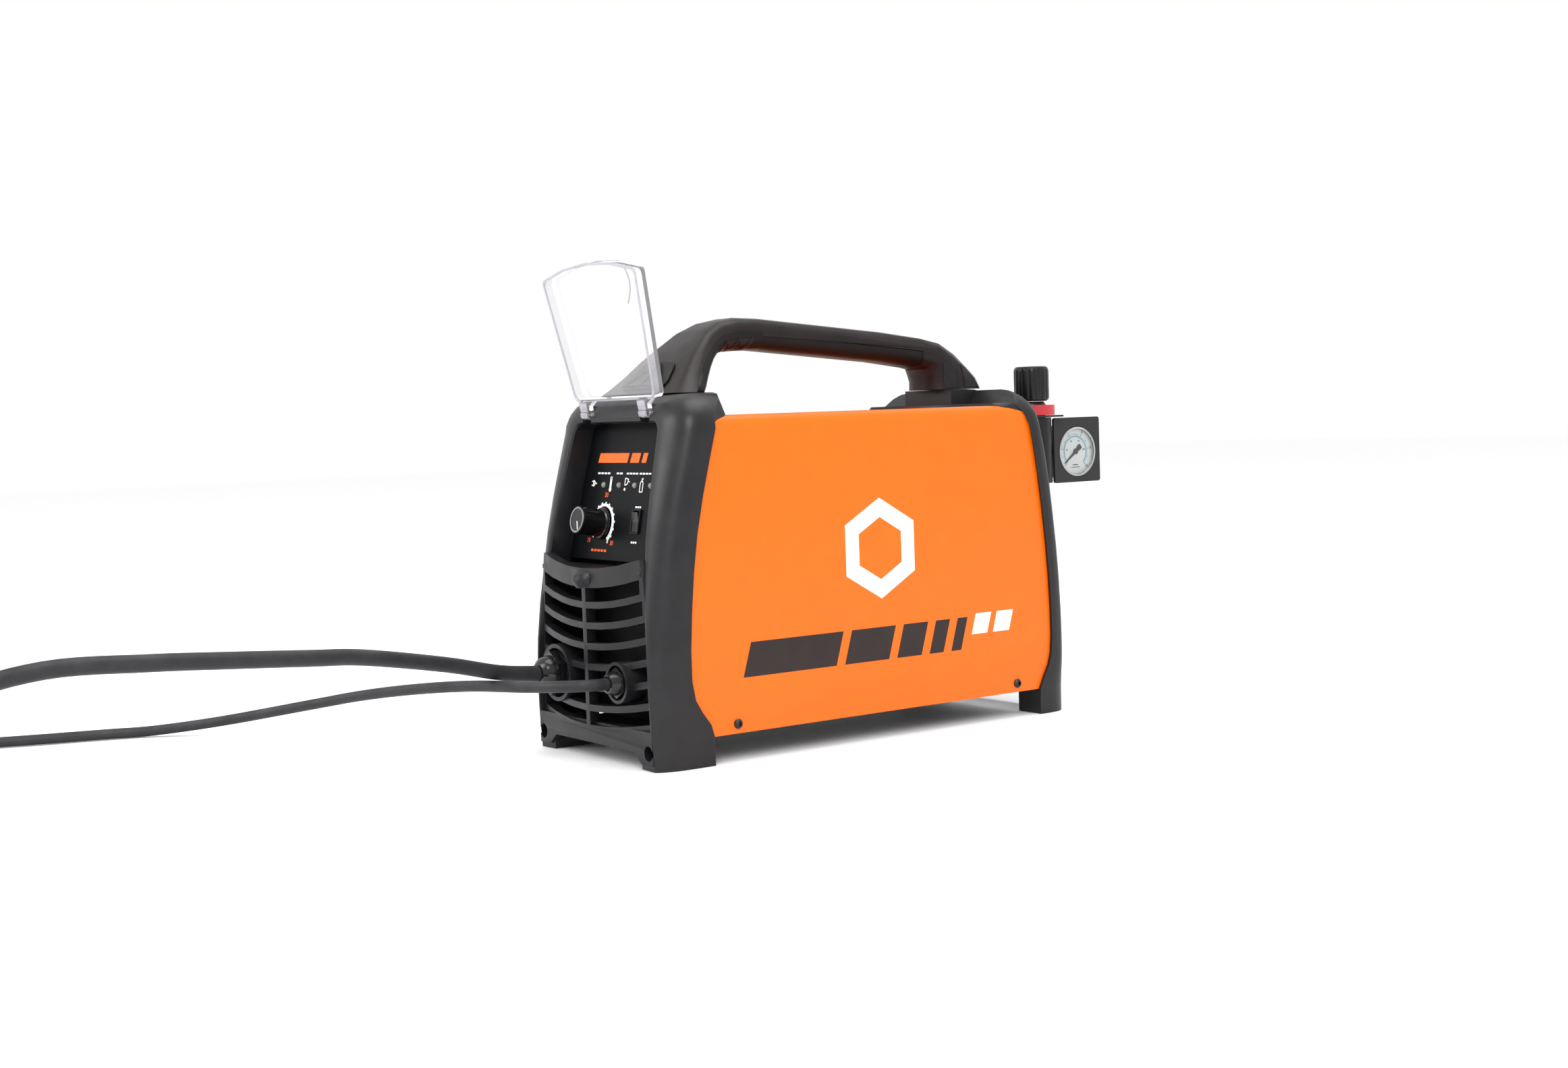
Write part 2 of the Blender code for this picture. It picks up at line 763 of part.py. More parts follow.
def panel_parts():
    skirt = 0.0118
    profile = [
        (0, knob_length),
        (knob_radius - 0.0008, knob_length),
        (knob_radius, knob_length - 0.0008),
        (knob_radius, 0.0030),
        (skirt, 0.0018),
        (skirt, 0.0006),
        (0.0034, 0.0006),
        (0.0034, 0.0130),
        (0, 0.0130),
    ]
    turned("current_knob", profile, panel_at(knob_x, 0, 0), panel_out(), "black")
    spindle = [
        (0, 0.0120),
        (0.0030, 0.0120),
        (0.0030, -0.0024),
        (0.0085, -0.0024),
        (0.0085, -0.0120),
        (0, -0.0120),
    ]
    turned("current_potentiometer", spindle, panel_at(knob_x, 0, 0), panel_out(), "steel")
    dome = [
        (0, 0.0016),
        (0.0014, 0.0012),
        (0.0024, 0.0002),
        (0.0025, -0.0024),
        (0.0025, -0.0060),
        (0, -0.0060),
    ]
    for i, x in enumerate(led_places):
        turned(f"status_led_{i + 1}", dome, panel_at(x, led_up, 0), panel_out(), "white", steps=10)
    rocker_switch("test_rocker", panel_view, rocker_x, rocker_up, 0.0042, 0.0076, 0.0055, 0.0090)


def rocker_switch(name, view, x, up, half_wide, half_tall, frame_half_wide, frame_half_tall):
    """A bezel with a see-saw rocker in it; the rocker's origin is on its pivot."""
    def oblong(wide, tall):
        return [(x - wide, up - tall), (x + wide, up - tall), (x + wide, up + tall), (x - wide, up + tall)]

    frame = plate(f"{name}_frame", oblong(frame_half_wide, frame_half_tall), gap, 0.0018, view, "black")
    cut(frame, plate(f"{name}_opening", oblong(half_wide + gap, half_tall + gap), -0.0100, 0.0100, view))
    pivot = view @ Vector((x, up, -0.0010))
    corners = [(-half_tall, -0.0026), (half_tall, -0.0026)]
    corners += [(half_tall, 0.0032), (0, 0.0022), (-half_tall, 0.0032)]
    seat = view @ Matrix.Translation((x, up, -0.0010)) @ side_view @ Matrix.Rotation(rocker_throw, 4, "Z")
    outline = [(0.96 * along, out) for along, out in corners]
    rocker = plate(name, outline, -half_wide, half_wide, seat, "black")
    set_origin(rocker, pivot)


def lid():
    """A clear tray, standing open: x across, y along its length and z out of its outer face."""
    outward = Matrix.Rotation(math.pi / 2 + lid_lean, 4, "X") @ Matrix.Rotation(math.pi, 4, "Y")
    frame = Matrix.Translation(lid_axis) @ outward

    def outline(inset):
        free = [(lid_free_half - inset, lid_corner - inset, 0.004)]
        for x in (lid_free_half / 2, 0, -lid_free_half / 2):
            sag = lid_bow if x else 0
            free.append((x, lid_peak - sag - inset, 0))
        free.append((-lid_free_half + inset, lid_corner - inset, 0.004))
        hinge = [
            (-lid_hinge_half + inset, lid_start + inset, 0.006),
            (lid_hinge_half - inset, lid_start + inset, 0.006),
        ]
        return rounded(free + hinge, steps=3)

    tray = plate("lid", outline(0), lid_rim, lid_outer, frame, "clear")
    cut(tray, plate("lid_hollow", outline(lid_wall), lid_rim - 0.001, lid_outer - lid_plate, frame))
    side_on = frame @ Matrix.Rotation(math.pi / 2, 4, "Y") @ Matrix.Rotation(math.pi / 2, 4, "Z")
    for side in (-1, 1):
        x = side * lug_x
        # The arm runs along the hinge plane, then steps out to the tray's hinge end.
        arm = [
            (-0.0005, -lug_thick),
            (lid_start, -lug_thick),
            (lid_start + 0.0012, lid_rim),
            (lid_start + 0.0012, lid_outer),
            (lid_start - 0.0005, lid_outer - 0.0006),
            (lid_start - 0.0040, lug_thick),
            (-0.0005, lug_thick),
        ]
        lug = plate(f"lug_arm_{side}", arm, x - lug_half, x + lug_half, side_on)
        left = Vector((x - lug_half, *lid_axis[1:]))
        knuckle = rod(f"knuckle_{side}", left, (1, 0, 0), 2 * lug_half, knuckle_radius, sides=16)
        left = Vector((x - pin_half, *lid_axis[1:]))
        pin = rod(f"lid_pin_{side}", left, (1, 0, 0), 2 * pin_half, pin_radius, sides=12)
        join(tray, lug, knuckle, pin)
    set_origin(tray, lid_axis)
    return tray


def gland(name, x, end_y, across, bore, thread, wall_back):
    """A body screwed through the boss from the front, and the domed nut that grips the lead."""
    flange_y = wall_back - 0.0029
    split = flange_y - 0.42 * (flange_y - end_y)
    corner = across / math.sqrt(3)
    turns = [math.radians(30 + 60 * i) for i in range(6)]
    outline = [(x + corner * math.cos(turn), ring_height + corner * math.sin(turn)) for turn in turns]
    body = plate(f"{name}_gland_body", outline, split + gap, flange_y, front_view, "black")
    stem = rod(f"{name}_stem", (x, flange_y - 0.001, ring_height), (0, 1, 0), 0.0150, thread)
    hole = rod(f"{name}_body_hole", (x, end_y - 0.01, ring_height), (0, 1, 0), 0.0900, bore)
    join(body, stem)
    cut(body, hole)
    bevel(body, 0.0005, 1)
    grip = plate(f"{name}_nut_hex", outline, split - 0.38 * (split - end_y), split, front_view)
    long = split - end_y
    dome = [
        (bore + 0.0006, long),
        (bore + 0.0024, long - 0.0004),
        (0.40 * across, long - 0.0028),
        (0.47 * across, 0.42 * long),
        (0.47 * across, 0.20 * long),
        (bore + 0.0006, 0.20 * long),
    ]
    nut = turned(f"{name}_gland_nut", dome, (x, split, ring_height), (0, -1, 0), "black", ring=True)
    join(nut, grip)
    cut(nut, hole)


def smooth_route(points, spacing):
    """Samples a Catmull-Rom curve through the route's points at even steps."""
    places = [Vector(p) for p in points]
    places = [2 * places[0] - places[1]] + places + [2 * places[-1] - places[-2]]
    fine = []
    for a, b, c, d in zip(places, places[1:], places[2:], places[3:]):
        for step in range(24):
            t = step / 24
            square = (2 * a - 5 * b + 4 * c - d) * t**2
            cube = (3 * b - a - 3 * c + d) * t**3
            fine.append(0.5 * (2 * b + (c - a) * t + square + cube))
    fine.append(places[-2])
    total = sum((q - p).length for p, q in zip(fine, fine[1:]))
    count = max(2, round(total / spacing))
    even = [fine[0]]
    passed = 0.0
    for p, q in zip(fine, fine[1:]):
        step = (q - p).length
        while len(even) < count and passed + step >= total * len(even) / count:
            even.append(p.lerp(q, (total * len(even) / count - passed) / step))
        passed += step
    return even + [fine[-1]]


def tube(name, points, width, kind="cord", spacing=2.5, resolution=2):
    curve = bpy.data.curves.new(name, "CURVE")
    curve.dimensions = "3D"
    curve.bevel_depth = width / 2
    curve.bevel_resolution = resolution
    curve.use_fill_caps = True
    route = smooth_route(points, spacing * width)
    spline = curve.splines.new("POLY")
    spline.points.add(len(route) - 1)
    for point, place in zip(spline.points, route):
        point.co = (*place, 1)
    curve.materials.append(material(kind))
    obj = bpy.data.objects.new(name, curve)
    parts.objects.link(obj)
    return obj


def coil(name, centre, inner, outer, tall):
    low = 0.0002
    profile = [
        (inner + 0.003, tall),
        (outer - 0.003, tall),
        (outer, tall - 0.004),
        (outer, low + 0.004),
        (outer - 0.003, low),
        (inner + 0.003, low),
        (inner, low + 0.004),
        (inner, tall - 0.004),
    ]
    turned(name, profile, (*centre, 0), (0, 0, 1), "cord", steps=28, ring=True)


def leads():
    gland("torch", torch_ring_x, torch_exit_y, 0.0290, torch_cord / 2 + gap, 0.0123, -0.1950)
    gland("work", work_ring_x, work_exit_y, 0.0195, work_cord / 2 + gap, 0.0080, -0.1950)
    tube("torch_lead", torch_route, torch_cord)
    coil("torch_lead_coil", torch_coil, torch_coil_inner, torch_coil_outer, torch_coil_tall)
    tube("work_lead", work_route, work_cord)
    coil("work_lead_coil", work_coil, work_coil_inner, work_coil_outer, work_coil_tall)
    tail_y = torch_coil[1] - 0.0910
    tail = [
        (torch_coil[0] - 0.0480, tail_y, 0.0061),
        (torch_coil[0] - 0.0620, tail_y, 0.0080),
        (torch_coil[0] - 0.0800, tail_y, 0.0150),
        (torch_start + 0.0120, tail_y, 0.0170),
        (torch_start + 0.0014, tail_y, 0.0170),
    ]
    tube("torch_lead_tail", tail, torch_cord)
    clamp_tail = [
        (work_coil[0] + 0.0376, clamp_pivot.y, 0.0046),
        (work_coil[0] + 0.0550, clamp_pivot.y, 0.0066),
        (clamp_back - 0.0120, clamp_pivot.y, 0.0104),
        (clamp_back - gap, clamp_pivot.y, 0.0104),
    ]
    tube("work_lead_tail", clamp_tail, work_cord)


def section(centre, direction, wide, tall, count=16):
    """An oval loop about a centre, square to a level direction."""
    along = Vector(direction).normalized()
    across = Vector((-along.y, along.x, 0))
    loop = []
    for i in range(count):
        turn = 2 * math.pi * i / count
        place = Vector(centre) + across * wide * math.cos(turn) + Vector((0, 0, tall * math.sin(turn)))
        loop.append(tuple(place))
    return loop


def torch():
    """The hand torch lies on its side, its head turned towards +Y."""
    y = torch_coil[1] - 0.0910
    z = 0.0170
    stations = [
        (0, 0, (-1, 0), 0.0085, 0.0085),
        (-0.0080, 0, (-1, 0), 0.0130, 0.0130),
        (-0.0200, 0, (-1, 0), 0.0150, 0.0145),
        (-0.0600, 0, (-1, 0), 0.0160, 0.0150),
        (-0.1100, 0, (-1, 0), 0.0170, 0.0155),
        (-0.1400, 0.0005, (-1, 0.1), 0.0165, 0.0155),
        (-0.1540, 0.0040, (-0.9, 0.45), 0.0155, 0.0150),
        (-0.1640, 0.0120, (-0.6, 0.8), 0.0145, 0.0145),
        (-0.1690, 0.0230, (-0.2, 1), 0.0135, 0.0135),
        (-0.1700, 0.0360, (0, 1), 0.0125, 0.0125),
    ]
    loops = []
    for dx, dy, turn, wide, tall in stations:
        loops.append(section((torch_start + dx, y + dy, z), (*turn, 0), wide, tall))
    body = loft("torch_body", loops, "black", closed_loops=True)
    pivot = Vector((torch_start - 0.0750, y + 0.0165, z))
    pocket_low = (pivot.x - 0.0470, y + 0.0070, z - 0.0056)
    pocket_high = (pivot.x + 0.0060, y + 0.0300, z + 0.0056)
    cut(body, box("trigger_pocket", pocket_low, pocket_high))
    outline = rounded(
        [
            (pivot.x + 0.0040, pivot.y - 0.0030, 0.001),
            (pivot.x + 0.0040, pivot.y + 0.0030, 0.002),
            (pivot.x - 0.0300, pivot.y + 0.0055, 0.006),
            (pivot.x - 0.0440, pivot.y + 0.0030, 0.002),
            (pivot.x - 0.0440, pivot.y - 0.0015, 0.001),
        ]
    )
    trigger = plate("torch_trigger", outline, z - 0.0050, z + 0.0050, plan_view, "red")
    set_origin(trigger, pivot)
    head = Vector((torch_start - 0.1700, y + 0.0360 + gap, z))
    cup = [
        (0.0050, 0.0280),
        (0.0075, 0.0280),
        (0.0110, 0.0190),
        (0.0122, 0.0120),
        (0.0122, 0),
        (0.0050, 0),
    ]
    turned("torch_cup", cup, head, (0, 1, 0), "brass", ring=True)
    tip = [(0, 0.0330), (0.0022, 0.0330), (0.0046, 0.0290), (0.0046, 0.0010), (0, 0.0010)]
    turned("torch_tip", tip, head, (0, 1, 0), "brass", steps=16)


def work_clamp():
    """A sprung clamp on its side: each arm is a jaw and a grip, hinged on an upright pin."""
    px, py = clamp_pivot.x, clamp_pivot.y
    shape = [
        (0.0850, 0.0002, 0),
        (0.0640, 0.0002, 0.002),
        (0.0560, 0.0090, 0.004),
        (0.0300, 0.0115, 0.006),
        (0.0000, 0.0100, 0.006),
        (-0.0300, 0.0150, 0.008),
        (-0.0720, 0.0270, 0.001),
        (-0.0740, 0.0330, 0.002),
        (-0.0300, 0.0230, 0.008),
        (0.0000, 0.0180, 0.010),
        (0.0450, 0.0185, 0.010),
        (0.0760, 0.0120, 0.004),
        (0.0870, 0.0050, 0.001),
    ]
    levels = {1: (0.0040, 0.0138), -1: (0.0142, 0.0240)}
    for name, side in (("fixed", 1), ("moving", -1)):
        outline = [(px + x, py + side * y) for x, y in rounded(shape, steps=2)]
        arm = plate(f"work_clamp_{name}_arm", outline, 0.0040, 0.0240, plan_view, "steel")
        low, high = levels[side]
        lug = rod(f"clamp_lug_{name}", (px, py, low), (0, 0, 1), high - low, 0.0085)
        neck_low = (px - 0.0060, py + min(side * 0.0040, side * 0.0150), low)
        neck_high = (px + 0.0060, py + max(side * 0.0040, side * 0.0150), high)
        join(arm, lug, box(f"clamp_neck_{name}", neck_low, neck_high))
        cut(arm, rod(f"clamp_hole_{name}", (px, py, 0), (0, 0, 1), 0.0300, 0.0033, sides=16))
        if name == "fixed":
            high = (px - 0.0360, py + 0.0180, 0.0160)
            join(arm, box("cable_barrel", (clamp_back, py - 0.0050, 0.0048), high))
        set_origin(arm, clamp_pivot)
    rod("work_clamp_pin", (px, py, 0.0025), (0, 0, 1), 0.0230, 0.0030, "steel", sides=16)


def rear_panel():
    outline = [(-0.0745, 0.0220), (0.0745, 0.0220), (0.0640, 0.2400), (-0.0640, 0.2400)]
    panel = plate("rear_panel", outline, rear_panel_y, rear_panel_y + 0.0015, front_view, "steel")
    behind = rear_panel_y - 0.0100
    cut(panel, rod("fan_opening", (0, behind, fan_height), (0, 1, 0), 0.0300, fan_radius, sides=28))
    cut(panel, rod("pipe_opening", (regulator_x, behind, 0.2000), (0, 1, 0), 0.0300, 0.0070))
    cut(panel, rod("mains_opening", (-0.0400, behind, 0.1500), (0, 1, 0), 0.0300, 0.0085))
    window = (-0.0465, behind, 0.1860), (-0.0235, rear_panel_y + 0.0200, 0.2140)
    cut(panel, box("switch_opening", *window))
    return panel


def rear_parts():
    turned_round = Matrix.Rotation(math.pi, 4, "Z") @ front_view
    rear_view = Matrix.Translation((0, rear_panel_y + 0.0015, 0)) @ turned_round
    rocker_switch("power_switch", rear_view, 0.0350, 0.2000, 0.0090, 0.0125, 0.0130, 0.0165)
    start = (-0.0400, rear_panel_y + 0.0018, 0.1500)
    shape = [
        (0.0058, 0.0300),
        (0.0085, 0.0290),
        (0.0110, 0.0220),
        (0.0120, 0.0140),
        (0.0120, 0),
        (0.0081, 0),
        (0.0081, -0.0120),
        (0.0058, -0.0120),
    ]
    turned("mains_gland", shape, start, (0, 1, 0), "black", ring=True)
    fan()


def guard_ring(inner, outer):
    return [(outer, 0.0020), (outer, 0), (inner, 0), (inner, 0.0020)]


def fan():
    front = rear_panel_y - 0.0280
    low = (-0.0400, front, fan_height - 0.0400)
    high = (0.0400, rear_panel_y - gap, fan_height + 0.0400)
    frame = box("fan_frame", low, high, "black")
    cut(frame, rod("fan_bore", (0, front - 0.01, fan_height), (0, 1, 0), 0.0500, fan_radius, sides=24))
    low = (-0.0385, rear_panel_y - 0.0040, fan_height - 0.0030)
    bar = box("fan_bar", low, (0.0385, rear_panel_y - gap, fan_height + 0.0030))
    join(frame, bar)
    rotor = rod("fan_rotor", (0, front + 0.0020, fan_height), (0, 1, 0), 0.0200, 0.0150, "black", sides=20)
    for i in range(7):
        lean = Matrix.Rotation(math.radians(35), 4, "X")
        spin = Matrix.Rotation(2 * math.pi * i / 7, 4, "Y")
        blade = box(f"fan_blade_{i}", (0.0120, -0.0010, -0.0090), (0.0350, 0.0010, 0.0090))
        blade.data.transform(Matrix.Translation((0, front + 0.0120, fan_height)) @ spin @ lean)
        join(rotor, blade)
    set_origin(rotor, (0, front + 0.0120, fan_height))
    guard_y = rear_panel_y + 0.0015 + gap
    ring = guard_ring(fan_radius + 0.0005, fan_radius + 0.0030)
    guard = turned("fan_guard", ring, (0, guard_y, fan_height), (0, 1, 0), "steel", steps=28, ring=True)
    for radius in (0.0270, 0.0150):
        ring = guard_ring(radius - 0.0010, radius + 0.0010)
        join(guard, turned(f"guard_ring_{radius}", ring, (0, guard_y, fan_height), (0, 1, 0), ring=True))
    for turn in (45, 135):
        half = 0.0390
        spoke = box(f"guard_spoke_{turn}", (-half, 0.0003, -0.0010), (half, 0.0023, 0.0010))
        seat = Matrix.Translation((0, guard_y, fan_height))
        spoke.data.transform(seat @ Matrix.Rotation(math.radians(turn), 4, "Y"))
        join(guard, spoke)


def regulator():
    x, y = regulator_x, regulator_y
    tall = bracket_height - gap - 0.1820
    body = rod("regulator_body", (x, y, 0.1820), (0, 0, 1), tall, regulator_radius, "black")
    neck = rod("regulator_neck", (x, y, 0.2300), (0, 0, 1), 0.0190, 0.0110)
    pipe = rod("outlet_pipe", (x, y - 0.0100, 0.2000), (0, -1, 0), 0.0600, 0.0062)
    port = rod("gauge_port", (x - 0.0020, y + 0.0100, dial_z), (0, 1, 0), 0.0065, 0.0060)
    inlet = rod("inlet_port", (x - 0.0100, y, 0.2000), (-1, 0, 0), 0.0120, 0.0090)
    join(body, neck, pipe, port, inlet)
    nipple = [
        (0, 0.0320),
        (0.0030, 0.0320),
        (0.0046, 0.0290),
        (0.0046, 0.0220),
        (0.0036, 0.0200),
        (0.0036, 0.0130),
        (0.0075, 0.0120),
        (0.0075, 0.0003),
        (0, 0.0003),
    ]
    turned("air_inlet", nipple, (x - 0.0220, y, 0.2000), (-1, 0, 0), "brass")
    back = rear_panel_y + 0.0018
    outline = [(back, 0.2170), (back + 0.0015, 0.2170)]
    outline += [(back + 0.0015, bracket_height), (y + 0.0200, bracket_height)]
    outline += [(y + 0.0200, bracket_height + 0.0015), (back, bracket_height + 0.0015)]
    bracket = plate("regulator_bracket", outline, x - 0.0170, x + 0.0170, side_view, "black")
    cut(bracket, rod("neck_hole", (x, y, 0.2300), (0, 0, 1), 0.0200, 0.0114))
    ring = [(0.0190, 0.0085), (0.0190, 0), (0.0114, 0), (0.0114, 0.0085)]
    collar_z = bracket_height + 0.0015 + gap
    turned("regulator_collar", ring, (x, y, collar_z), (0, 0, 1), "red", ring=True)
    cap = [
        (0, 0.0290),
        (0.0120, 0.0290),
        (0.0145, 0.0265),
        (0.0145, 0.0010),
        (0.0138, 0),
        (0.0118, 0),
        (0.0118, 0.0060),
        (0, 0.0060),
    ]
    turned("regulator_knob", cap, (x, y, 0.2506), (0, 0, 1), "black")


def gauge():
    middle = Vector((0, dial_y, dial_z))
    back = gauge_front - 0.0260
    start = middle + Vector((back, 0, 0))
    case = rod("gauge_case", start, (1, 0, 0), 0.0250, dial_radius + 0.0015, "black")
    outline = rounded(
        [
            (dial_y - plate_half, dial_z - 0.0257, 0.002),
            (dial_y + plate_half, dial_z - 0.0257, 0.002),
            (dial_y + plate_half, dial_z + 0.0290, 0.002),
            (dial_y - plate_half, dial_z + 0.0290, 0.002),
        ],
        steps=2,
    )
    join(case, plate("gauge_plate", outline, gauge_front - 0.0025, gauge_front, side_view))
    start = middle + Vector((gauge_front - 0.0040, 0, 0))
    cut(case, rod("dial_well", start, (1, 0, 0), 0.0100, dial_radius))
    dial_x = gauge_front - 0.0040 + gap
    rod("gauge_dial", middle + Vector((dial_x, 0, 0)), (1, 0, 0), 0.0006, dial_radius - gap, "white")
    needle_x = dial_x + 0.0006 + gap
    right = [(0.0016, -0.0050), (0.0014, 0.0030), (0.0003, 0.0175)]
    shape = right + [(-x, y) for x, y in reversed(right)]
    needle = plate("gauge_needle", shape, 0, 0.0005, plan_view, "black")
    seat = Matrix.Translation((needle_x, dial_y, dial_z)) @ side_view
    needle.data.transform(seat @ Matrix.Rotation(-needle_turn, 4, "Z"))
    join(needle, rod("needle_hub", (needle_x, dial_y, dial_z), (1, 0, 0), 0.0010, 0.0028, sides=16))
    set_origin(needle, (needle_x, dial_y, dial_z))
    lens_x = gauge_front - 0.0010
    rod("gauge_lens", middle + Vector((lens_x, 0, 0)), (1, 0, 0), 0.0008, dial_radius - gap, "clear")


def inner_parts():
    """The power board, its heat sink, the transformer, the capacitors and the gas valve."""
    floor = cover_bottom + 0.0014 + gap
    fins = [(-0.0300, 0.1500)]
    for i in range(7):
        left = -0.0300 + 0.0090 * i
        fins += [(left, 0.1780), (left + 0.0030, 0.1780)]
        if i < 6:
            fins += [(left + 0.0030, 0.1545), (left + 0.0090, 0.1545)]
    fins += [(0.0270, 0.1500)]
    plate("heat_sink", fins, -0.0400, 0.0900, front_view, "steel")
    box("power_board", (0.0560, -0.1200, 0.0450), (0.0576, 0.1000, 0.2000), "green")
    ring = [(0.0360, 0.0340), (0.0360, 0.0010), (0.0140, 0.0010), (0.0140, 0.0340)]
    turned("transformer", ring, (-0.0200, -0.0300, floor), (0, 0, 1), "brass", steps=28, ring=True)
    for i, y in enumerate((0.0500, 0.0900)):
        rod(f"capacitor_{i + 1}", (-0.0550, y, floor), (0, 0, 1), 0.0500, 0.0160, "black", 20)
    box("gas_valve", (-0.0560, -0.1300, 0.0450), (-0.0300, -0.1000, 0.0900), "brass", 0.0015)


def build():
    front_bezel()
    rear_bezel()
    cover()
    base_tray()
    cover_screws()
    handle()
    control_panel()
    panel_parts()
    lid()
    leads()
    torch()
    work_clamp()
    rear_panel()
    rear_parts()
    regulator()
    gauge()
    inner_parts()
    pieces = list(bpy.data.objects)
    unit = bpy.data.objects.new("plasma_cutter", None)
    parts.objects.link(unit)
    unit.location.y = -(torch_exit_y + dial_y + plate_half) / 2
    for piece in pieces:
        piece.parent = unit


build()
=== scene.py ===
import json
import math

import bmesh
import bpy
from mathutils import Matrix, Vector


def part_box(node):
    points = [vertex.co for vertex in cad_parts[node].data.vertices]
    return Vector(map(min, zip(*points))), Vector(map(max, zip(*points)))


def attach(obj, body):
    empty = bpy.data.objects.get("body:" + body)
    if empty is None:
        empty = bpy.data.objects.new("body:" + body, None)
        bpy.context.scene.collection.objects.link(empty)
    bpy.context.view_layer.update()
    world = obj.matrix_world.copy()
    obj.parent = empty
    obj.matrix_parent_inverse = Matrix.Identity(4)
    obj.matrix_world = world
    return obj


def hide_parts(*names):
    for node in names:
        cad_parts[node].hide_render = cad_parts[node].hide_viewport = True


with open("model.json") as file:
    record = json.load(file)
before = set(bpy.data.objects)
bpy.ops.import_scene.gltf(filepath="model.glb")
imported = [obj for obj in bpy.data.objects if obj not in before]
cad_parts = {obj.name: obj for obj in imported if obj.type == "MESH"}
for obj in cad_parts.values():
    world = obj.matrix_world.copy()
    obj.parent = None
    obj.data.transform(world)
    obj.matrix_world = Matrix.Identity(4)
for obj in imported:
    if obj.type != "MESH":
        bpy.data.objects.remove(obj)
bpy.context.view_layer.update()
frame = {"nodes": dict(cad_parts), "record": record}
print("frame loaded:", len(frame["nodes"]), "nodes")

scene = bpy.context.scene
scene.view_settings.view_transform = "Standard"
floorZ = 0.0

# The frame's origin is this far in front of the middle of the case
caseShift = -0.02745


def startGroup(name, inputs, outputs):
    group = bpy.data.node_groups.new(name, "ShaderNodeTree")
    for label, kind, value in inputs:
        socket = group.interface.new_socket(name=label, in_out="INPUT", socket_type=kind)
        socket.default_value = value
    for label, kind in outputs:
        group.interface.new_socket(name=label, in_out="OUTPUT", socket_type=kind)
    return group, group.nodes.new("NodeGroupInput"), group.nodes.new("NodeGroupOutput")


def ramp(tree, factor, low, high):
    node = tree.nodes.new("ShaderNodeMapRange")
    node.inputs["From Min"].default_value = low
    node.inputs["From Max"].default_value = high
    tree.links.new(factor, node.inputs["Value"])
    return node.outputs["Result"]


def blendColours(tree, mask, first, second):
    node = tree.nodes.new("ShaderNodeMix")
    node.data_type = "RGBA"
    tree.links.new(mask, node.inputs["Factor"])
    for value, socket in ((first, node.inputs[6]), (second, node.inputs[7])):
        if isinstance(value, bpy.types.NodeSocket):
            tree.links.new(value, socket)
        else:
            socket.default_value = value
    return node.outputs[2]


def noise(tree, place, scale, detail=3.0, roughness=0.5):
    node = tree.nodes.new("ShaderNodeTexNoise")
    node.inputs["Detail"].default_value = detail
    node.inputs["Roughness"].default_value = roughness
    tree.links.new(place, node.inputs["Vector"])
    if isinstance(scale, bpy.types.NodeSocket):
        tree.links.new(scale, node.inputs["Scale"])
    else:
        node.inputs["Scale"].default_value = scale
    return node.outputs["Fac"]


def makeGrainGroup():
    # Fine moulded grain: a bump, and a roughness that wanders a little
    group, given, made = startGroup(
        "mouldedGrain",
        [
            ("Grain", "NodeSocketFloat", 1500.0),
            ("Depth", "NodeSocketFloat", 0.00004),
            ("Rough Low", "NodeSocketFloat", 0.4),
            ("Rough High", "NodeSocketFloat", 0.55),
        ],
        [("Normal", "NodeSocketVector"), ("Roughness", "NodeSocketFloat")],
    )
    place = group.nodes.new("ShaderNodeTexCoord").outputs["Object"]
    fine = noise(group, place, given.outputs["Grain"], 2.0, 0.6)
    bump = group.nodes.new("ShaderNodeBump")
    bump.inputs["Strength"].default_value = 0.6
    group.links.new(given.outputs["Depth"], bump.inputs["Distance"])
    group.links.new(fine, bump.inputs["Height"])
    broad = noise(group, place, 38.0, 4.0, 0.6)
    spread = group.nodes.new("ShaderNodeMapRange")
    spread.inputs["From Min"].default_value = 0.3
    spread.inputs["From Max"].default_value = 0.7
    group.links.new(broad, spread.inputs["Value"])
    group.links.new(given.outputs["Rough Low"], spread.inputs["To Min"])
    group.links.new(given.outputs["Rough High"], spread.inputs["To Max"])
    group.links.new(bump.outputs["Normal"], made.inputs["Normal"])
    group.links.new(spread.outputs["Result"], made.inputs["Roughness"])
    return group


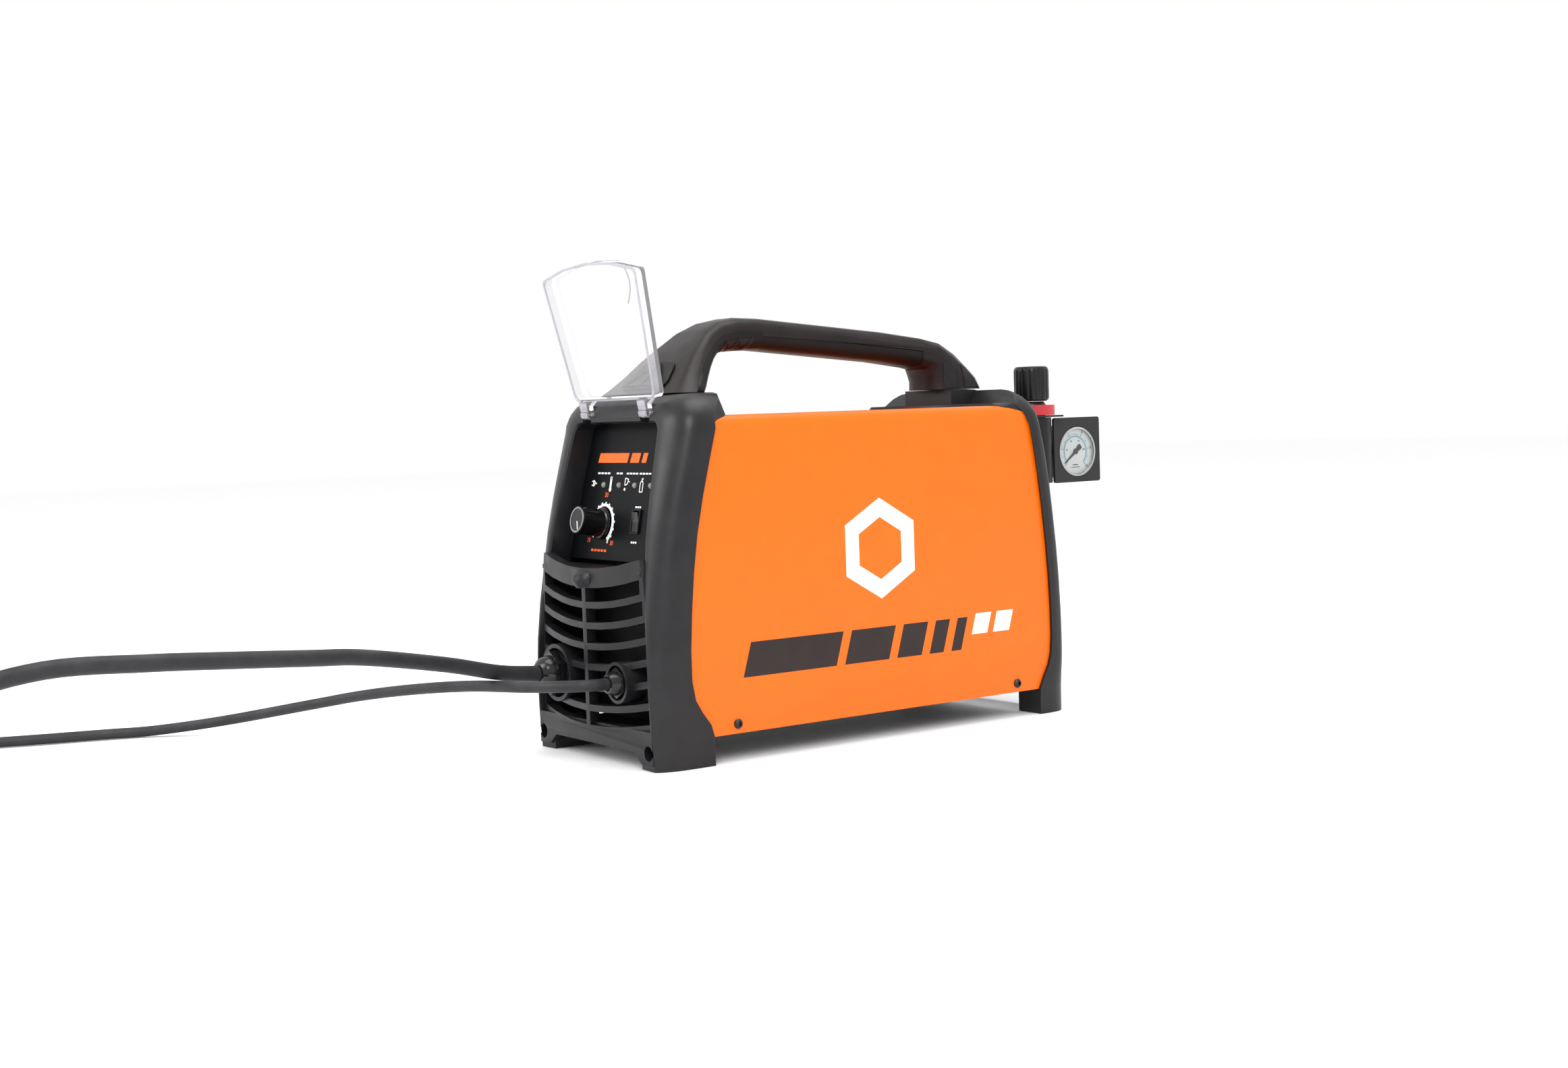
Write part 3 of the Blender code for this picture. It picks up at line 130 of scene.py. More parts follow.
def makeDustGroup():
    # A pale film in blotches, heavier on surfaces that face up, and fine specks
    group, given, made = startGroup(
        "settledDust",
        [
            ("Color", "NodeSocketColor", (0.1, 0.1, 0.1, 1)),
            ("Dust", "NodeSocketColor", (0.35, 0.33, 0.31, 1)),
            ("Amount", "NodeSocketFloat", 0.1),
        ],
        [("Color", "NodeSocketColor"), ("Mask", "NodeSocketFloat")],
    )
    place = group.nodes.new("ShaderNodeTexCoord").outputs["Object"]
    blotch = ramp(group, noise(group, place, 24.0, 5.0, 0.65), 0.35, 0.8)
    speck = ramp(group, noise(group, place, 900.0, 1.0, 0.5), 0.72, 0.85)
    normal = group.nodes.new("ShaderNodeNewGeometry").outputs["Normal"]
    split = group.nodes.new("ShaderNodeSeparateXYZ")
    group.links.new(normal, split.inputs["Vector"])
    upward = ramp(group, split.outputs["Z"], -0.4, 1.2)
    both = group.nodes.new("ShaderNodeMath")
    both.operation = "MAXIMUM"
    group.links.new(blotch, both.inputs[0])
    group.links.new(speck, both.inputs[1])
    faced = group.nodes.new("ShaderNodeMath")
    faced.operation = "MULTIPLY"
    group.links.new(both.outputs[0], faced.inputs[0])
    group.links.new(upward, faced.inputs[1])
    mask = group.nodes.new("ShaderNodeMath")
    mask.operation = "MULTIPLY"
    group.links.new(faced.outputs[0], mask.inputs[0])
    group.links.new(given.outputs["Amount"], mask.inputs[1])
    colour = blendColours(group, mask.outputs[0], given.outputs["Color"], given.outputs["Dust"])
    group.links.new(colour, made.inputs["Color"])
    group.links.new(mask.outputs[0], made.inputs["Mask"])
    return group


grainGroup = makeGrainGroup()
dustGroup = makeDustGroup()


def place(tree, group, **values):
    node = tree.nodes.new("ShaderNodeGroup")
    node.node_tree = group
    for label, value in values.items():
        node.inputs[label.replace("_", " ")].default_value = value
    return node


# Each finish: colour, its second tone, metal, the roughness range, grain size and depth, and dust
finishes = {
    "shellPlastic": dict(
        colour=(0.0080, 0.0078, 0.0096), tone=(0.0060, 0.0058, 0.0070), rough=(0.34, 0.44), gloss=0.36, grain=2600,
        depth=4e-5, dust=0.05
    ),
    "handlePlastic": dict(
        colour=(0.0110, 0.0064, 0.0070), tone=(0.0080, 0.0048, 0.0052), rough=(0.36, 0.46), gloss=0.24, grain=2600,
        depth=4e-5, dust=0.05
    ),
    "gripRubber": dict(
        colour=(0.0040, 0.0034, 0.0036), tone=(0.0030, 0.0027, 0.0029), rough=(0.44, 0.56), gloss=0.22, grain=3200,
        depth=4e-5, dust=0.05
    ),
    "powderCoat": dict(
        colour=(0.80, 0.132, 0.001), tone=(0.78, 0.127, 0.001), rough=(0.36, 0.42), grain=1300, depth=1.2e-5,
        dust=0.01,
        coat=0.20, coatRough=0.14, gloss=0.22
    ),
    # Near-black painted shade, for the cover's inner faces, the handle's pockets and the sheet behind the grille
    "paintedShadeBlack": dict(
        colour=(0.010, 0.010, 0.011), tone=(0.008, 0.008, 0.009), rough=(0.55, 0.65), grain=1400, depth=2e-5,
        dust=0.02
    ),
    "membrane": dict(
        colour=(0.0022, 0.0025, 0.0034), tone=(0.0018, 0.0021, 0.0029), rough=(0.32, 0.40), grain=4200, depth=1e-5,
        dust=0.01, gloss=0.12
    ),
    "glossBlack": dict(
        colour=(0.004, 0.004, 0.0045), tone=(0.003, 0.003, 0.0035), rough=(0.14, 0.22), grain=1800, depth=6e-6,
        dust=0.03, gloss=0.5
    ),
    "satinBlack": dict(
        colour=(0.0055, 0.0055, 0.0064), tone=(0.0042, 0.0042, 0.0048), rough=(0.26, 0.36), grain=2200, depth=2e-5,
        dust=0.04
    ),
    "gaugePlate": dict(
        colour=(0.020, 0.020, 0.020), tone=(0.017, 0.017, 0.017), rough=(0.45, 0.55), grain=2200, depth=2e-5,
        dust=0.04
    ),
    "blackSheet": dict(
        colour=(0.016, 0.016, 0.018), tone=(0.012, 0.012, 0.013), rough=(0.40, 0.50), grain=1400, depth=2e-5,
        dust=0.08
    ),
    "leadRubber": dict(
        colour=(0.020, 0.019, 0.022), tone=(0.015, 0.014, 0.017), rough=(0.48, 0.60), grain=1700, depth=5e-5,
        dust=0.14
    ),
    "redPlastic": dict(
        colour=(0.50, 0.036, 0.046), tone=(0.44, 0.028, 0.038), rough=(0.28, 0.38), grain=1500, depth=1e-5,
        dust=0.05
    ),
    "whitePrint": dict(
        colour=(0.86, 0.86, 0.86), tone=(0.80, 0.80, 0.81), rough=(0.42, 0.50), grain=3000, depth=5e-6, dust=0.02
    ),
    "orangePrint": dict(
        colour=(0.90, 0.13, 0.015), tone=(0.84, 0.11, 0.012), rough=(0.42, 0.50), grain=3000, depth=5e-6, dust=0.02
    ),
    "darkPrint": dict(
        colour=(0.022, 0.014, 0.012), tone=(0.017, 0.011, 0.010), rough=(0.36, 0.44), grain=3000, depth=5e-6,
        dust=0.02
    ),
    "bluePrint": dict(
        colour=(0.22, 0.46, 0.58), tone=(0.19, 0.41, 0.52), rough=(0.42, 0.50), grain=3000, depth=5e-6, dust=0.0
    ),
    "dialCard": dict(
        colour=(0.80, 0.84, 0.82), tone=(0.76, 0.80, 0.78), rough=(0.45, 0.55), grain=2600, depth=5e-6, dust=0.02
    ),
    "ledLens": dict(
        colour=(0.20, 0.205, 0.18), tone=(0.16, 0.165, 0.145), rough=(0.22, 0.30), grain=3000, depth=4e-6, dust=0.0
    ),
    # Pale grey and partly see-through: painted highlight on the lid's rim and finger pull
    "paintedHighlightEdge": dict(
        colour=(0.46, 0.44, 0.49), tone=(0.38, 0.36, 0.42), rough=(0.16, 0.26), grain=2600, depth=4e-6, dust=0.0,
        alpha=0.58, gloss=0.5
    ),
    "clearWall": dict(
        colour=(0.58, 0.57, 0.60), tone=(0.52, 0.51, 0.55), rough=(0.12, 0.20), grain=2600, depth=4e-6, dust=0.0,
        alpha=0.16, gloss=0.5
    ),
    "steel": dict(
        colour=(0.50, 0.50, 0.51), tone=(0.42, 0.42, 0.43), metal=1.0, rough=(0.24, 0.38), grain=1900, depth=1e-5,
        dust=0.05
    ),
    "brass": dict(
        colour=(0.66, 0.46, 0.20), tone=(0.54, 0.36, 0.15), metal=1.0, rough=(0.26, 0.40), grain=1900, depth=1e-5,
        dust=0.06
    ),
    "copperWinding": dict(
        colour=(0.52, 0.21, 0.08), tone=(0.38, 0.14, 0.05), metal=0.8, rough=(0.35, 0.50), grain=700, depth=2e-4,
        dust=0.1
    ),
    "solderMask": dict(
        colour=(0.010, 0.120, 0.045), tone=(0.008, 0.095, 0.036), rough=(0.30, 0.42), grain=500, depth=3e-5,
        dust=0.1
    ),
    "anodised": dict(
        colour=(0.060, 0.060, 0.066), tone=(0.045, 0.045, 0.050), metal=0.9, rough=(0.32, 0.44), grain=2400,
        depth=1e-5, dust=0.1
    ),
}


def makeFinish(name, values):
    made = bpy.data.materials.new(name)
    made.use_nodes = True
    tree = made.node_tree
    surface = tree.nodes["Principled BSDF"]
    surface.inputs["Metallic"].default_value = values.get("metal", 0.0)
    surface.inputs["IOR"].default_value = 1.46
    surface.inputs["Specular IOR Level"].default_value = values.get("gloss", 0.3)
    surface.inputs["Coat Weight"].default_value = values.get("coat", 0.0)
    surface.inputs["Coat Roughness"].default_value = values.get("coatRough", 0.1)
    surface.inputs["Alpha"].default_value = values.get("alpha", 1.0)
    coords = tree.nodes.new("ShaderNodeTexCoord").outputs["Object"]
    drift = ramp(tree, noise(tree, coords, 55.0, 4.0, 0.6), 0.38, 0.66)
    base = blendColours(tree, drift, (*values["colour"], 1), (*values["tone"], 1))
    dust = place(tree, dustGroup, Amount=values["dust"])
    tree.links.new(base, dust.inputs["Color"])
    tree.links.new(dust.outputs["Color"], surface.inputs["Base Color"])
    low, high = values["rough"]
    grain = place(tree, grainGroup, Grain=values["grain"], Depth=values["depth"], Rough_Low=low, Rough_High=high)
    tree.links.new(grain.outputs["Roughness"], surface.inputs["Roughness"])
    tree.links.new(grain.outputs["Normal"], surface.inputs["Normal"])
    return made


def makeClearPlastic(name, tint, rough, clear):
    # Thin clear moulding: mostly seen through, with a sheen that grows at grazing angles
    made = bpy.data.materials.new(name)
    made.use_nodes = True
    tree = made.node_tree
    surface = tree.nodes["Principled BSDF"]
    surface.inputs["Base Color"].default_value = (*tint, 1)
    surface.inputs["IOR"].default_value = 1.49
    surface.inputs["Transmission Weight"].default_value = clear
    coords = tree.nodes.new("ShaderNodeTexCoord").outputs["Object"]
    smear = ramp(tree, noise(tree, coords, 30.0, 5.0, 0.6), 0.3, 0.75)
    spread = tree.nodes.new("ShaderNodeMapRange")
    spread.inputs["To Min"].default_value = rough[0]
    spread.inputs["To Max"].default_value = rough[1]
    tree.links.new(smear, spread.inputs["Value"])
    tree.links.new(spread.outputs["Result"], surface.inputs["Roughness"])
    return made


materials = {name: makeFinish(name, values) for name, values in finishes.items()}
materials["clearLid"] = makeClearPlastic("clearLid", (0.97, 0.96, 0.98), (0.02, 0.06), 0.94)
materials["clearLens"] = makeClearPlastic("clearLens", (0.98, 0.99, 0.99), (0.01, 0.04), 1.0)
print("finishes made:", len(materials))


bodyOf = {node: body for body, members in frame["record"]["behaviour"]["bodies"].items() for node in members}


def finishPiece(name, mesh, finish, body, smoothAngle=35):
    obj = bpy.data.objects.new(name, mesh)
    scene.collection.objects.link(obj)
    mesh.materials.clear()
    mesh.materials.append(materials[finish])
    mesh.shade_smooth()
    mesh.set_sharp_from_angle(angle=math.radians(smoothAngle))
    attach(obj, body)
    return obj


def meshFrom(bm, name, seat=None):
    if seat is not None:
        bm.transform(seat)
    bmesh.ops.remove_doubles(bm, verts=bm.verts, dist=1e-6)
    bmesh.ops.recalc_face_normals(bm, faces=bm.faces)
    mesh = bpy.data.meshes.new(name)
    bm.to_mesh(mesh)
    bm.free()
    return mesh


def roundEdges(obj, width, segments=2, angle=32):
    softened = obj.modifiers.new("softEdges", "BEVEL")
    softened.width = width
    softened.segments = segments
    softened.limit_method = "ANGLE"
    softened.angle_limit = math.radians(angle)
    softened.harden_normals = True
    softened.use_clamp_overlap = True


def refine(node, finish, edge=0.0003, segments=2, smoothAngle=35, flatten=1.0):
    # A welded copy of a CAD node with soft edges, which stands for that node
    bm = bmesh.new()
    bm.from_mesh(frame["nodes"][node].data)
    bmesh.ops.remove_doubles(bm, verts=bm.verts, dist=2e-6)
    if flatten:
        bmesh.ops.dissolve_limit(
            bm, angle_limit=math.radians(flatten), verts=bm.verts, edges=bm.edges, delimit={"NORMAL"}
        )
    mesh = bpy.data.meshes.new(node + "_fine")
    bm.to_mesh(mesh)
    bm.free()
    obj = finishPiece(node + "_fine", mesh, finish, bodyOf[node], smoothAngle)
    if edge:
        roundEdges(obj, edge, segments)
    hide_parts(node)
    return obj


def extruded(outline, low, high):
    bm = bmesh.new()
    corners = [bm.verts.new((x, y, low)) for x, y in outline]
    face = bm.faces.new(corners)
    grown = bmesh.ops.extrude_face_region(bm, geom=[face])
    moved = [item for item in grown["geom"] if isinstance(item, bmesh.types.BMVert)]
    bmesh.ops.translate(bm, vec=(0, 0, high - low), verts=moved)
    return bm


def joinShapes(shapes):
    whole = bmesh.new()
    for shape in shapes:
        part = bpy.data.meshes.new("part")
        shape.to_mesh(part)
        shape.free()
        whole.from_mesh(part)
        bpy.data.meshes.remove(part)
    return whole


def bar(x, y, wide, tall, low, high, turn=0.0, lean=0.0):
    corners = [(-wide / 2, -tall / 2), (wide / 2, -tall / 2), (wide / 2, tall / 2), (-wide / 2, tall / 2)]
    cosine, sine = math.cos(turn), math.sin(turn)
    outline = []
    for a, b in corners:
        a += lean * b
        outline.append((x + a * cosine - b * sine, y + a * sine + b * cosine))
    return extruded(outline, low, high)


def arcBand(centre, inner, outer, start, end, low, high, steps=32, innerEnd=None, outerEnd=None):
    # A flat band along an arc, whose radii may change from its start to its end
    innerEnd = inner if innerEnd is None else innerEnd
    outerEnd = outer if outerEnd is None else outerEnd
    near, far = [], []
    for step in range(steps + 1):
        share = step / steps
        turn = start + (end - start) * share
        direction = Vector((math.cos(turn), math.sin(turn)))
        near.append(Vector(centre) + direction * (inner + (innerEnd - inner) * share))
        far.append(Vector(centre) + direction * (outer + (outerEnd - outer) * share))
    return extruded([tuple(point) for point in near + far[::-1]], low, high)


def disc(x, y, radius, low, high, segments=24):
    bm = bmesh.new()
    bmesh.ops.create_cone(
        bm, cap_ends=True, segments=segments, radius1=radius, radius2=radius, depth=high - low,
        matrix=Matrix.Translation((x, y, (low + high) / 2)),
    )
    return bm


def turnedShape(profile, segments=48):
    # Spins a (radius, height) profile round Z
    bm = bmesh.new()
    points = [bm.verts.new((radius, 0, height)) for radius, height in profile]
    edges = [bm.edges.new(pair) for pair in zip(points, points[1:])]
    bmesh.ops.spin(
        bm, geom=points + edges, cent=(0, 0, 0), axis=(0, 0, 1), angle=2 * math.pi, steps=segments, use_merge=True
    )
    bmesh.ops.remove_doubles(bm, verts=bm.verts, dist=1e-6)
    return bm


def printed(name, shapes, finish, seat, body):
    return finishPiece(name, meshFrom(joinShapes(shapes), name, seat), finish, body)


def lettering(words, size, x, y, low, high):
    curve = bpy.data.curves.new("figures", "FONT")
    curve.body = words
    curve.size = size
    curve.align_x = "CENTER"
    curve.align_y = "CENTER"
    curve.extrude = (high - low) / 2
    curve.resolution_u = 3
    guide = bpy.data.objects.new("figures", curve)
    scene.collection.objects.link(guide)
    mesh = bpy.data.meshes.new_from_object(guide.evaluated_get(bpy.context.evaluated_depsgraph_get()))
    bpy.data.objects.remove(guide)
    bm = bmesh.new()
    bm.from_mesh(mesh)
    bm.transform(Matrix.Translation((x, y, (low + high) / 2)))
    bpy.data.meshes.remove(mesh)
    return bm


camera = dict(place=(1.2406, -0.95115, 0.2480), lens=45.17, heading=54.1735, dip=3.5246, roll=-1.9231)


def makeCamera():
    data = bpy.data.cameras.new("camera")
    data.sensor_width = 36
    data.lens = camera["lens"]
    data.clip_start = 0.01
    obj = bpy.data.objects.new("camera", data)
    scene.collection.objects.link(obj)
    heading = Matrix.Rotation(math.radians(camera["heading"]), 4, "Z")
    dip = Matrix.Rotation(math.radians(90 - camera["dip"]), 4, "X")
    roll = Matrix.Rotation(math.radians(camera["roll"]), 4, "Z")
    obj.matrix_world = Matrix.Translation(camera["place"]) @ heading @ dip @ roll
    scene.camera = obj


makeCamera()
print("camera placed")


torchCord = dict(
    diameter=0.0115,
    route=[
        (-0.0428, -0.2195, 0.0605), (-0.0428, -0.2268, 0.0615), (-0.0428, -0.2580, 0.0654),
        (-0.0400, -0.3020, 0.0760), (-0.0150, -0.3750, 0.0905), (0.0010, -0.4200, 0.0958),
        (0.0150, -0.4800, 0.1016), (0.0250, -0.5350, 0.1063), (0.0310, -0.6000, 0.1090),
        (0.0340, -0.6550, 0.0980), (0.0370, -0.7050, 0.0700), (0.0415, -0.7500, 0.0340),
        (0.0450, -0.7850, 0.0110), (0.0455, -0.8110, 0.0061),
    ],
    coilCentre=(-0.0450, -0.8600),
    rings=(0.0905, 0.0788, 0.0671),
    lift=0.0118,
    low=0.0061,
    turnSign=-1,
    startTurn=0.0,
    length=3.5,
)
workCord = dict(
    diameter=0.0085,
    route=[
        (0.0435, -0.2140, 0.0605), (0.0435, -0.2188, 0.0605), (0.0410, -0.2400, 0.0612),
        (-0.0030, -0.2575, 0.0584), (-0.0670, -0.2680, 0.0543), (-0.1300, -0.2820, 0.0477),
        (-0.1920, -0.2990, 0.0388), (-0.2450, -0.3220, 0.0285), (-0.3230, -0.3650, 0.0125),
        (-0.3640, -0.4080, 0.0052), (-0.3800, -0.4440, 0.0046), (-0.3960, -0.4930, 0.0046),
        (-0.4150, -0.5450, 0.0046), (-0.4245, -0.5900, 0.0046), (-0.4250, -0.6226, 0.0046),
    ],
    coilCentre=(-0.3545, -0.6600),
    rings=(0.0706, 0.0619, 0.0532),
    lift=0.0088,
    low=0.0046,
    turnSign=1,
    startTurn=math.pi,
    length=2.9,
)


def easeStep(value, start, end):
    share = min(1.0, max(0.0, (value - start) / (end - start)))
    return share * share * (3 - 2 * share)


def coilPoints(values, exitTurns):
    # Three rings lie on the floor, working inwards, and three on top of them, working outwards.
    # All rings step across in the same sector, so that they stay a diameter apart.
    outerRing, middleRing, innerRing = values["rings"]
    points = []
    steps = 40
    for step in range(int(exitTurns * steps) + 1):
        turns = step / steps
        radius = outerRing
        radius += (middleRing - outerRing) * easeStep(turns, 0.80, 1.0)
        radius += (innerRing - middleRing) * easeStep(turns, 1.80, 2.0)
        radius += (middleRing - innerRing) * easeStep(turns, 3.28, 3.50)
        radius += (outerRing - middleRing) * easeStep(turns, 4.28, 4.50)
        height = values["low"] + values["lift"] * easeStep(turns, 2.55, 2.78)
        turn = values["startTurn"] + values["turnSign"] * 2 * math.pi * turns
        x = values["coilCentre"][0] + radius * math.cos(turn)
        y = values["coilCentre"][1] + radius * math.sin(turn)
        points.append(Vector((x, y, height)))
    return points


def smoothRoute(points, perSpan=10):
    whole = [2 * points[0] - points[1]] + points + [2 * points[-1] - points[-2]]
    fine = []
    for a, b, c, d in zip(whole, whole[1:], whole[2:], whole[3:]):
        for step in range(perSpan):
            t = step / perSpan
            square = (2 * a - 5 * b + 4 * c - d) * t**2
            cube = (3 * b - a - 3 * c + d) * t**3
            fine.append(0.5 * (2 * b + (c - a) * t + square + cube))
    fine.append(whole[-2])
    return fine


def cordCurve(name, points, diameter, finish, body):
    curve = bpy.data.curves.new(name, "CURVE")
    curve.dimensions = "3D"
    curve.bevel_depth = diameter / 2
    curve.bevel_resolution = 5
    curve.use_fill_caps = True
    spline = curve.splines.new("POLY")
    spline.points.add(len(points) - 1)
    for slotPoint, point in zip(spline.points, points):
        slotPoint.co = (*point, 1)
    spline.use_smooth = True
    curve.materials.append(materials[finish])
    obj = bpy.data.objects.new(name, curve)
    scene.collection.objects.link(obj)
    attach(obj, body)
    return obj


def shifted(points):
    return [Vector((x, y + caseShift, z)) for x, y, z in points]


def makeLead(name, values, exitTurns, tail):
    centre = values["coilCentre"]
    values["coilCentre"] = (centre[0], centre[1] + caseShift)
    route = smoothRoute(shifted(values["route"]), 6)
    points = route + coilPoints(values, exitTurns) + smoothRoute(shifted(tail), 6)
    kept = [points[0]]
    for point in points[1:]:
        if (point - kept[-1]).length > 0.0012:
            kept.append(point)
    measured = sum((b - a).length for a, b in zip(kept, kept[1:]))
    print(name, "measures", round(measured, 3), "m")
    return cordCurve(name, kept, values["diameter"], "leadRubber", "case")


torchTail = [
    (-0.0620, -0.9505, 0.0179), (-0.0800, -0.9508, 0.0165), (-0.0980, -0.9510, 0.0125),
    (-0.1160, -0.9510, 0.0118), (-0.1320, -0.9510, 0.0160), (-0.1480, -0.9510, 0.0170),
    (-0.1900, -0.9510, 0.0170), (-0.2500, -0.9510, 0.0170),
]
workTail = [
    (-0.3400, -0.7303, 0.0134), (-0.3250, -0.7305, 0.0118), (-0.3080, -0.7305, 0.0090),
    (-0.2850, -0.7305, 0.0102), (-0.2603, -0.7305, 0.0104),
]
torchLead = makeLead("torch_lead_cord", torchCord, 5.25, torchTail)
workLead = makeLead("work_lead_cord", workCord, 5.25, workTail)
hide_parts("torch_lead", "torch_lead_coil", "torch_lead_tail")
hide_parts("work_lead", "work_lead_coil", "work_lead_tail")
print("leads laid")

cableTie = dict(wide=0.0120, thick=0.0014, turnAway=math.radians(150))


def makeTie(name, values, tall):
    # A strap looped round one side of a coil
    rings = values["rings"]
    radius = values["diameter"] / 2
    inner = rings[2] - radius - 0.0012
    outer = rings[0] + radius + 0.0012
    angle = cableTie["turnAway"]
    loop = []
    corner = 0.0052
    for cornerX, cornerZ, start in (
        (outer - corner, tall - corner, 0),
        (inner + corner, tall - corner, 90),
        (inner + corner, 0.0003 + corner, 180),
        (outer - corner, 0.0003 + corner, 270),
    ):
        for step in range(5):
            turn = math.radians(start + 90 * step / 4)
            loop.append((cornerX + corner * math.cos(turn), cornerZ + corner * math.sin(turn)))
    bm = bmesh.new()
    verts = [bm.verts.new((x, 0, z)) for x, z in loop]
    edges = [bm.edges.new((a, b)) for a, b in zip(verts, verts[1:] + verts[:1])]
    grown = bmesh.ops.extrude_edge_only(bm, edges=edges)
    moved = [item for item in grown["geom"] if isinstance(item, bmesh.types.BMVert)]
    bmesh.ops.translate(bm, vec=(0, cableTie["wide"], 0), verts=moved)
    bmesh.ops.translate(bm, vec=(0, -cableTie["wide"] / 2, 0), verts=bm.verts)
    seat = Matrix.Translation((*values["coilCentre"], 0)) @ Matrix.Rotation(angle, 4, "Z")
    obj = finishPiece(name, meshFrom(bm, name, seat), "satinBlack", "case")
    wall = obj.modifiers.new("wall", "SOLIDIFY")
    wall.thickness = cableTie["thick"]
    wall.offset = -1
    return obj


torchTie = makeTie("torch_coil_tie", torchCord, 0.0252)
workTie = makeTie("work_coil_tie", workCord, 0.0190)

torchPieces = [
    refine("torch_body", "satinBlack", 0.0, smoothAngle=50, flatten=0),
    refine("torch_cup", "brass", 0.0002),
    refine("torch_tip", "brass", 0.0002),
    refine("torch_trigger", "redPlastic", 0.0005),
]
clampPieces = [
    refine("work_clamp_fixed_arm", "steel", 0.0004),
    refine("work_clamp_moving_arm", "steel", 0.0004),
    refine("work_clamp_pin", "steel", 0.0004),
]


def tubeRing(centre, axis, radius, thick, segments=32, around=10):
    # A closed ring of round section
    bm = bmesh.new()
    made = bmesh.ops.create_circle(
        bm, segments=around, radius=thick,
        matrix=Matrix.Translation((radius, 0, 0)) @ Matrix.Rotation(math.pi / 2, 4, "X")
    )
    bmesh.ops.spin(
        bm, geom=made["verts"] + bm.edges[:], cent=(0, 0, 0), axis=(0, 0, 1), angle=2 * math.pi, steps=segments,
        use_merge=True
    )
    turn = Vector((0, 0, 1)).rotation_difference(Vector(axis)).to_matrix().to_4x4()
    bm.transform(Matrix.Translation(centre) @ turn)
    return bm


def makeClampDetails():
    # Jaw teeth, and the coil spring round the pin
    pieces = []
    pivot = Vector((-0.2150, -0.7305 + caseShift, 0.0140))
    for side, body in ((1, "case"), (-1, "work_clamp_moving_arm")):
        teeth = []
        for step in range(6):
            x = pivot.x + 0.0660 + 0.0032 * step
            teeth.append(bar(x, pivot.y + side * 0.0008, 0.0014, 0.0010, 0.0045, 0.0235))
        name = "clamp_teeth_fixed" if side == 1 else "clamp_teeth_moving"
        pieces.append(printed(name, teeth, "steel", Matrix.Identity(4), body))
    coilSpring = []
    for step in range(7):
        coilSpring.append(tubeRing(pivot + Vector((0, 0, -0.0070 + 0.0023 * step)), (0, 0, 1), 0.0066, 0.0009))
    pieces.append(printed("clamp_spring", coilSpring, "steel", Matrix.Identity(4), "case"))
    return pieces


clampPieces += makeClampDetails()

print("torch and clamp made")


for node, finish, slot, edge, smoothAngle in (
    ("front_bezel", "shellPlastic", "shell", 0.0005, 40),
    ("rear_bezel", "shellPlastic", "shell", 0.0005, 40),
    ("base_tray", "blackSheet", "sheet", 0.0002, 30),
    ("handle_shell", "handlePlastic", "shell", 0.0006, 44),
    ("handle_grip", "gripRubber", "grip", 0.0005, 44),
    ("handle_inlay", "gripRubber", "grip", 0.0004, 35),
    ("control_panel", "membrane", "panel", 0.0002, 30),
    ("test_rocker_frame", "satinBlack", "black", 0.0003, 30),
    ("test_rocker", "glossBlack", "black", 0.0004, 30),
    ("torch_gland_body", "satinBlack", "black", 0.0005, 35),
    ("torch_gland_nut", "glossBlack", "black", 0.0005, 40),
    ("work_gland_body", "satinBlack", "black", 0.0004, 35),
    ("work_gland_nut", "glossBlack", "black", 0.0004, 40),
    ("mains_gland", "satinBlack", "black", 0.0003, 40),
    ("air_inlet", "brass", "brass", 0.0003, 35),
    ("power_switch_frame", "satinBlack", "black", 0.0004, 30),
    ("power_switch", "glossBlack", "black", 0.0004, 30),
    ("fan_frame", "satinBlack", "black", 0.0003, 35),
    ("fan_guard", "steel", "sheet", 0.0003, 40),
    ("fan_rotor", "satinBlack", "black", 0.0003, 35),
    ("rear_panel", "blackSheet", "sheet", 0.0003, 30),
    ("regulator_body", "satinBlack", "aluminium", 0.0006, 35),
    ("regulator_bracket", "blackSheet", "sheet", 0.0003, 30),
    ("regulator_collar", "redPlastic", "collar", 0.0004, 35),
    ("gauge_case", "gaugePlate", "black", 0.0005, 35),
    ("gauge_dial", "dialCard", "dial", 0.0, 35),
    ("heat_sink", "anodised", "aluminium", 0.0002, 30),
    ("power_board", "solderMask", "board", 0.0001, 30),
    ("transformer", "copperWinding", "coil", 0.0008, 40),
    ("capacitor_1", "glossBlack", "black", 0.0010, 40),
    ("capacitor_2", "glossBlack", "black", 0.0010, 40),
    ("gas_valve", "brass", "brass", 0.0006, 35),
    ("current_potentiometer", "steel", "steel", 0.0002, 35),
    ("gauge_lens", "clearLens", "clear", 0.0002, 35),
    *((f"status_led_{number}", "ledLens", "led", 0.0, 40) for number in range(1, 5)),
):
    refine(node, finish, edge, smoothAngle=smoothAngle)
print("case refined")

# Everything below the lid's hinge line sits in the panel's own slope
panelSeat = Matrix.Translation((0, -0.1760 + caseShift, 0.1700)) @ Matrix.Rotation(math.radians(90 - 11.5), 4, "X")
flat = Matrix.Identity(4)


def secondFinish(obj, finish, chosen):
    # Gives the chosen faces of a piece another finish
    obj.data.materials.append(materials[finish])
    for face in obj.data.polygons:
        if chosen(face):
            face.material_index = 1


def stroke(a, b, wide, low, high):
    # A bar from one point to another
    middle = ((a[0] + b[0]) / 2, (a[1] + b[1]) / 2)
    along = Vector(b) - Vector(a)
    return bar(*middle, along.length, wide, low, high, math.atan2(along.y, along.x))


def strokes(points, wide, low, high):
    return [stroke(a, b, wide, low, high) for a, b in zip(points, points[1:])]


def ribbedShape(profile, segments, ribEvery, ribWide, depth, low, high, reach):
    # A turned shape whose side is fluted between two heights
    bm = turnedShape(profile, segments)
    for vert in bm.verts:
        radius = math.hypot(vert.co.x, vert.co.y)
        column = round(math.atan2(vert.co.y, vert.co.x) / (2 * math.pi) * segments) % segments
        if radius > reach and low - 1e-6 <= vert.co.z <= high + 1e-6 and column % ribEvery >= ribWide:
            vert.co.x *= (radius - depth) / radius
            vert.co.y *= (radius - depth) / radius
    return bm


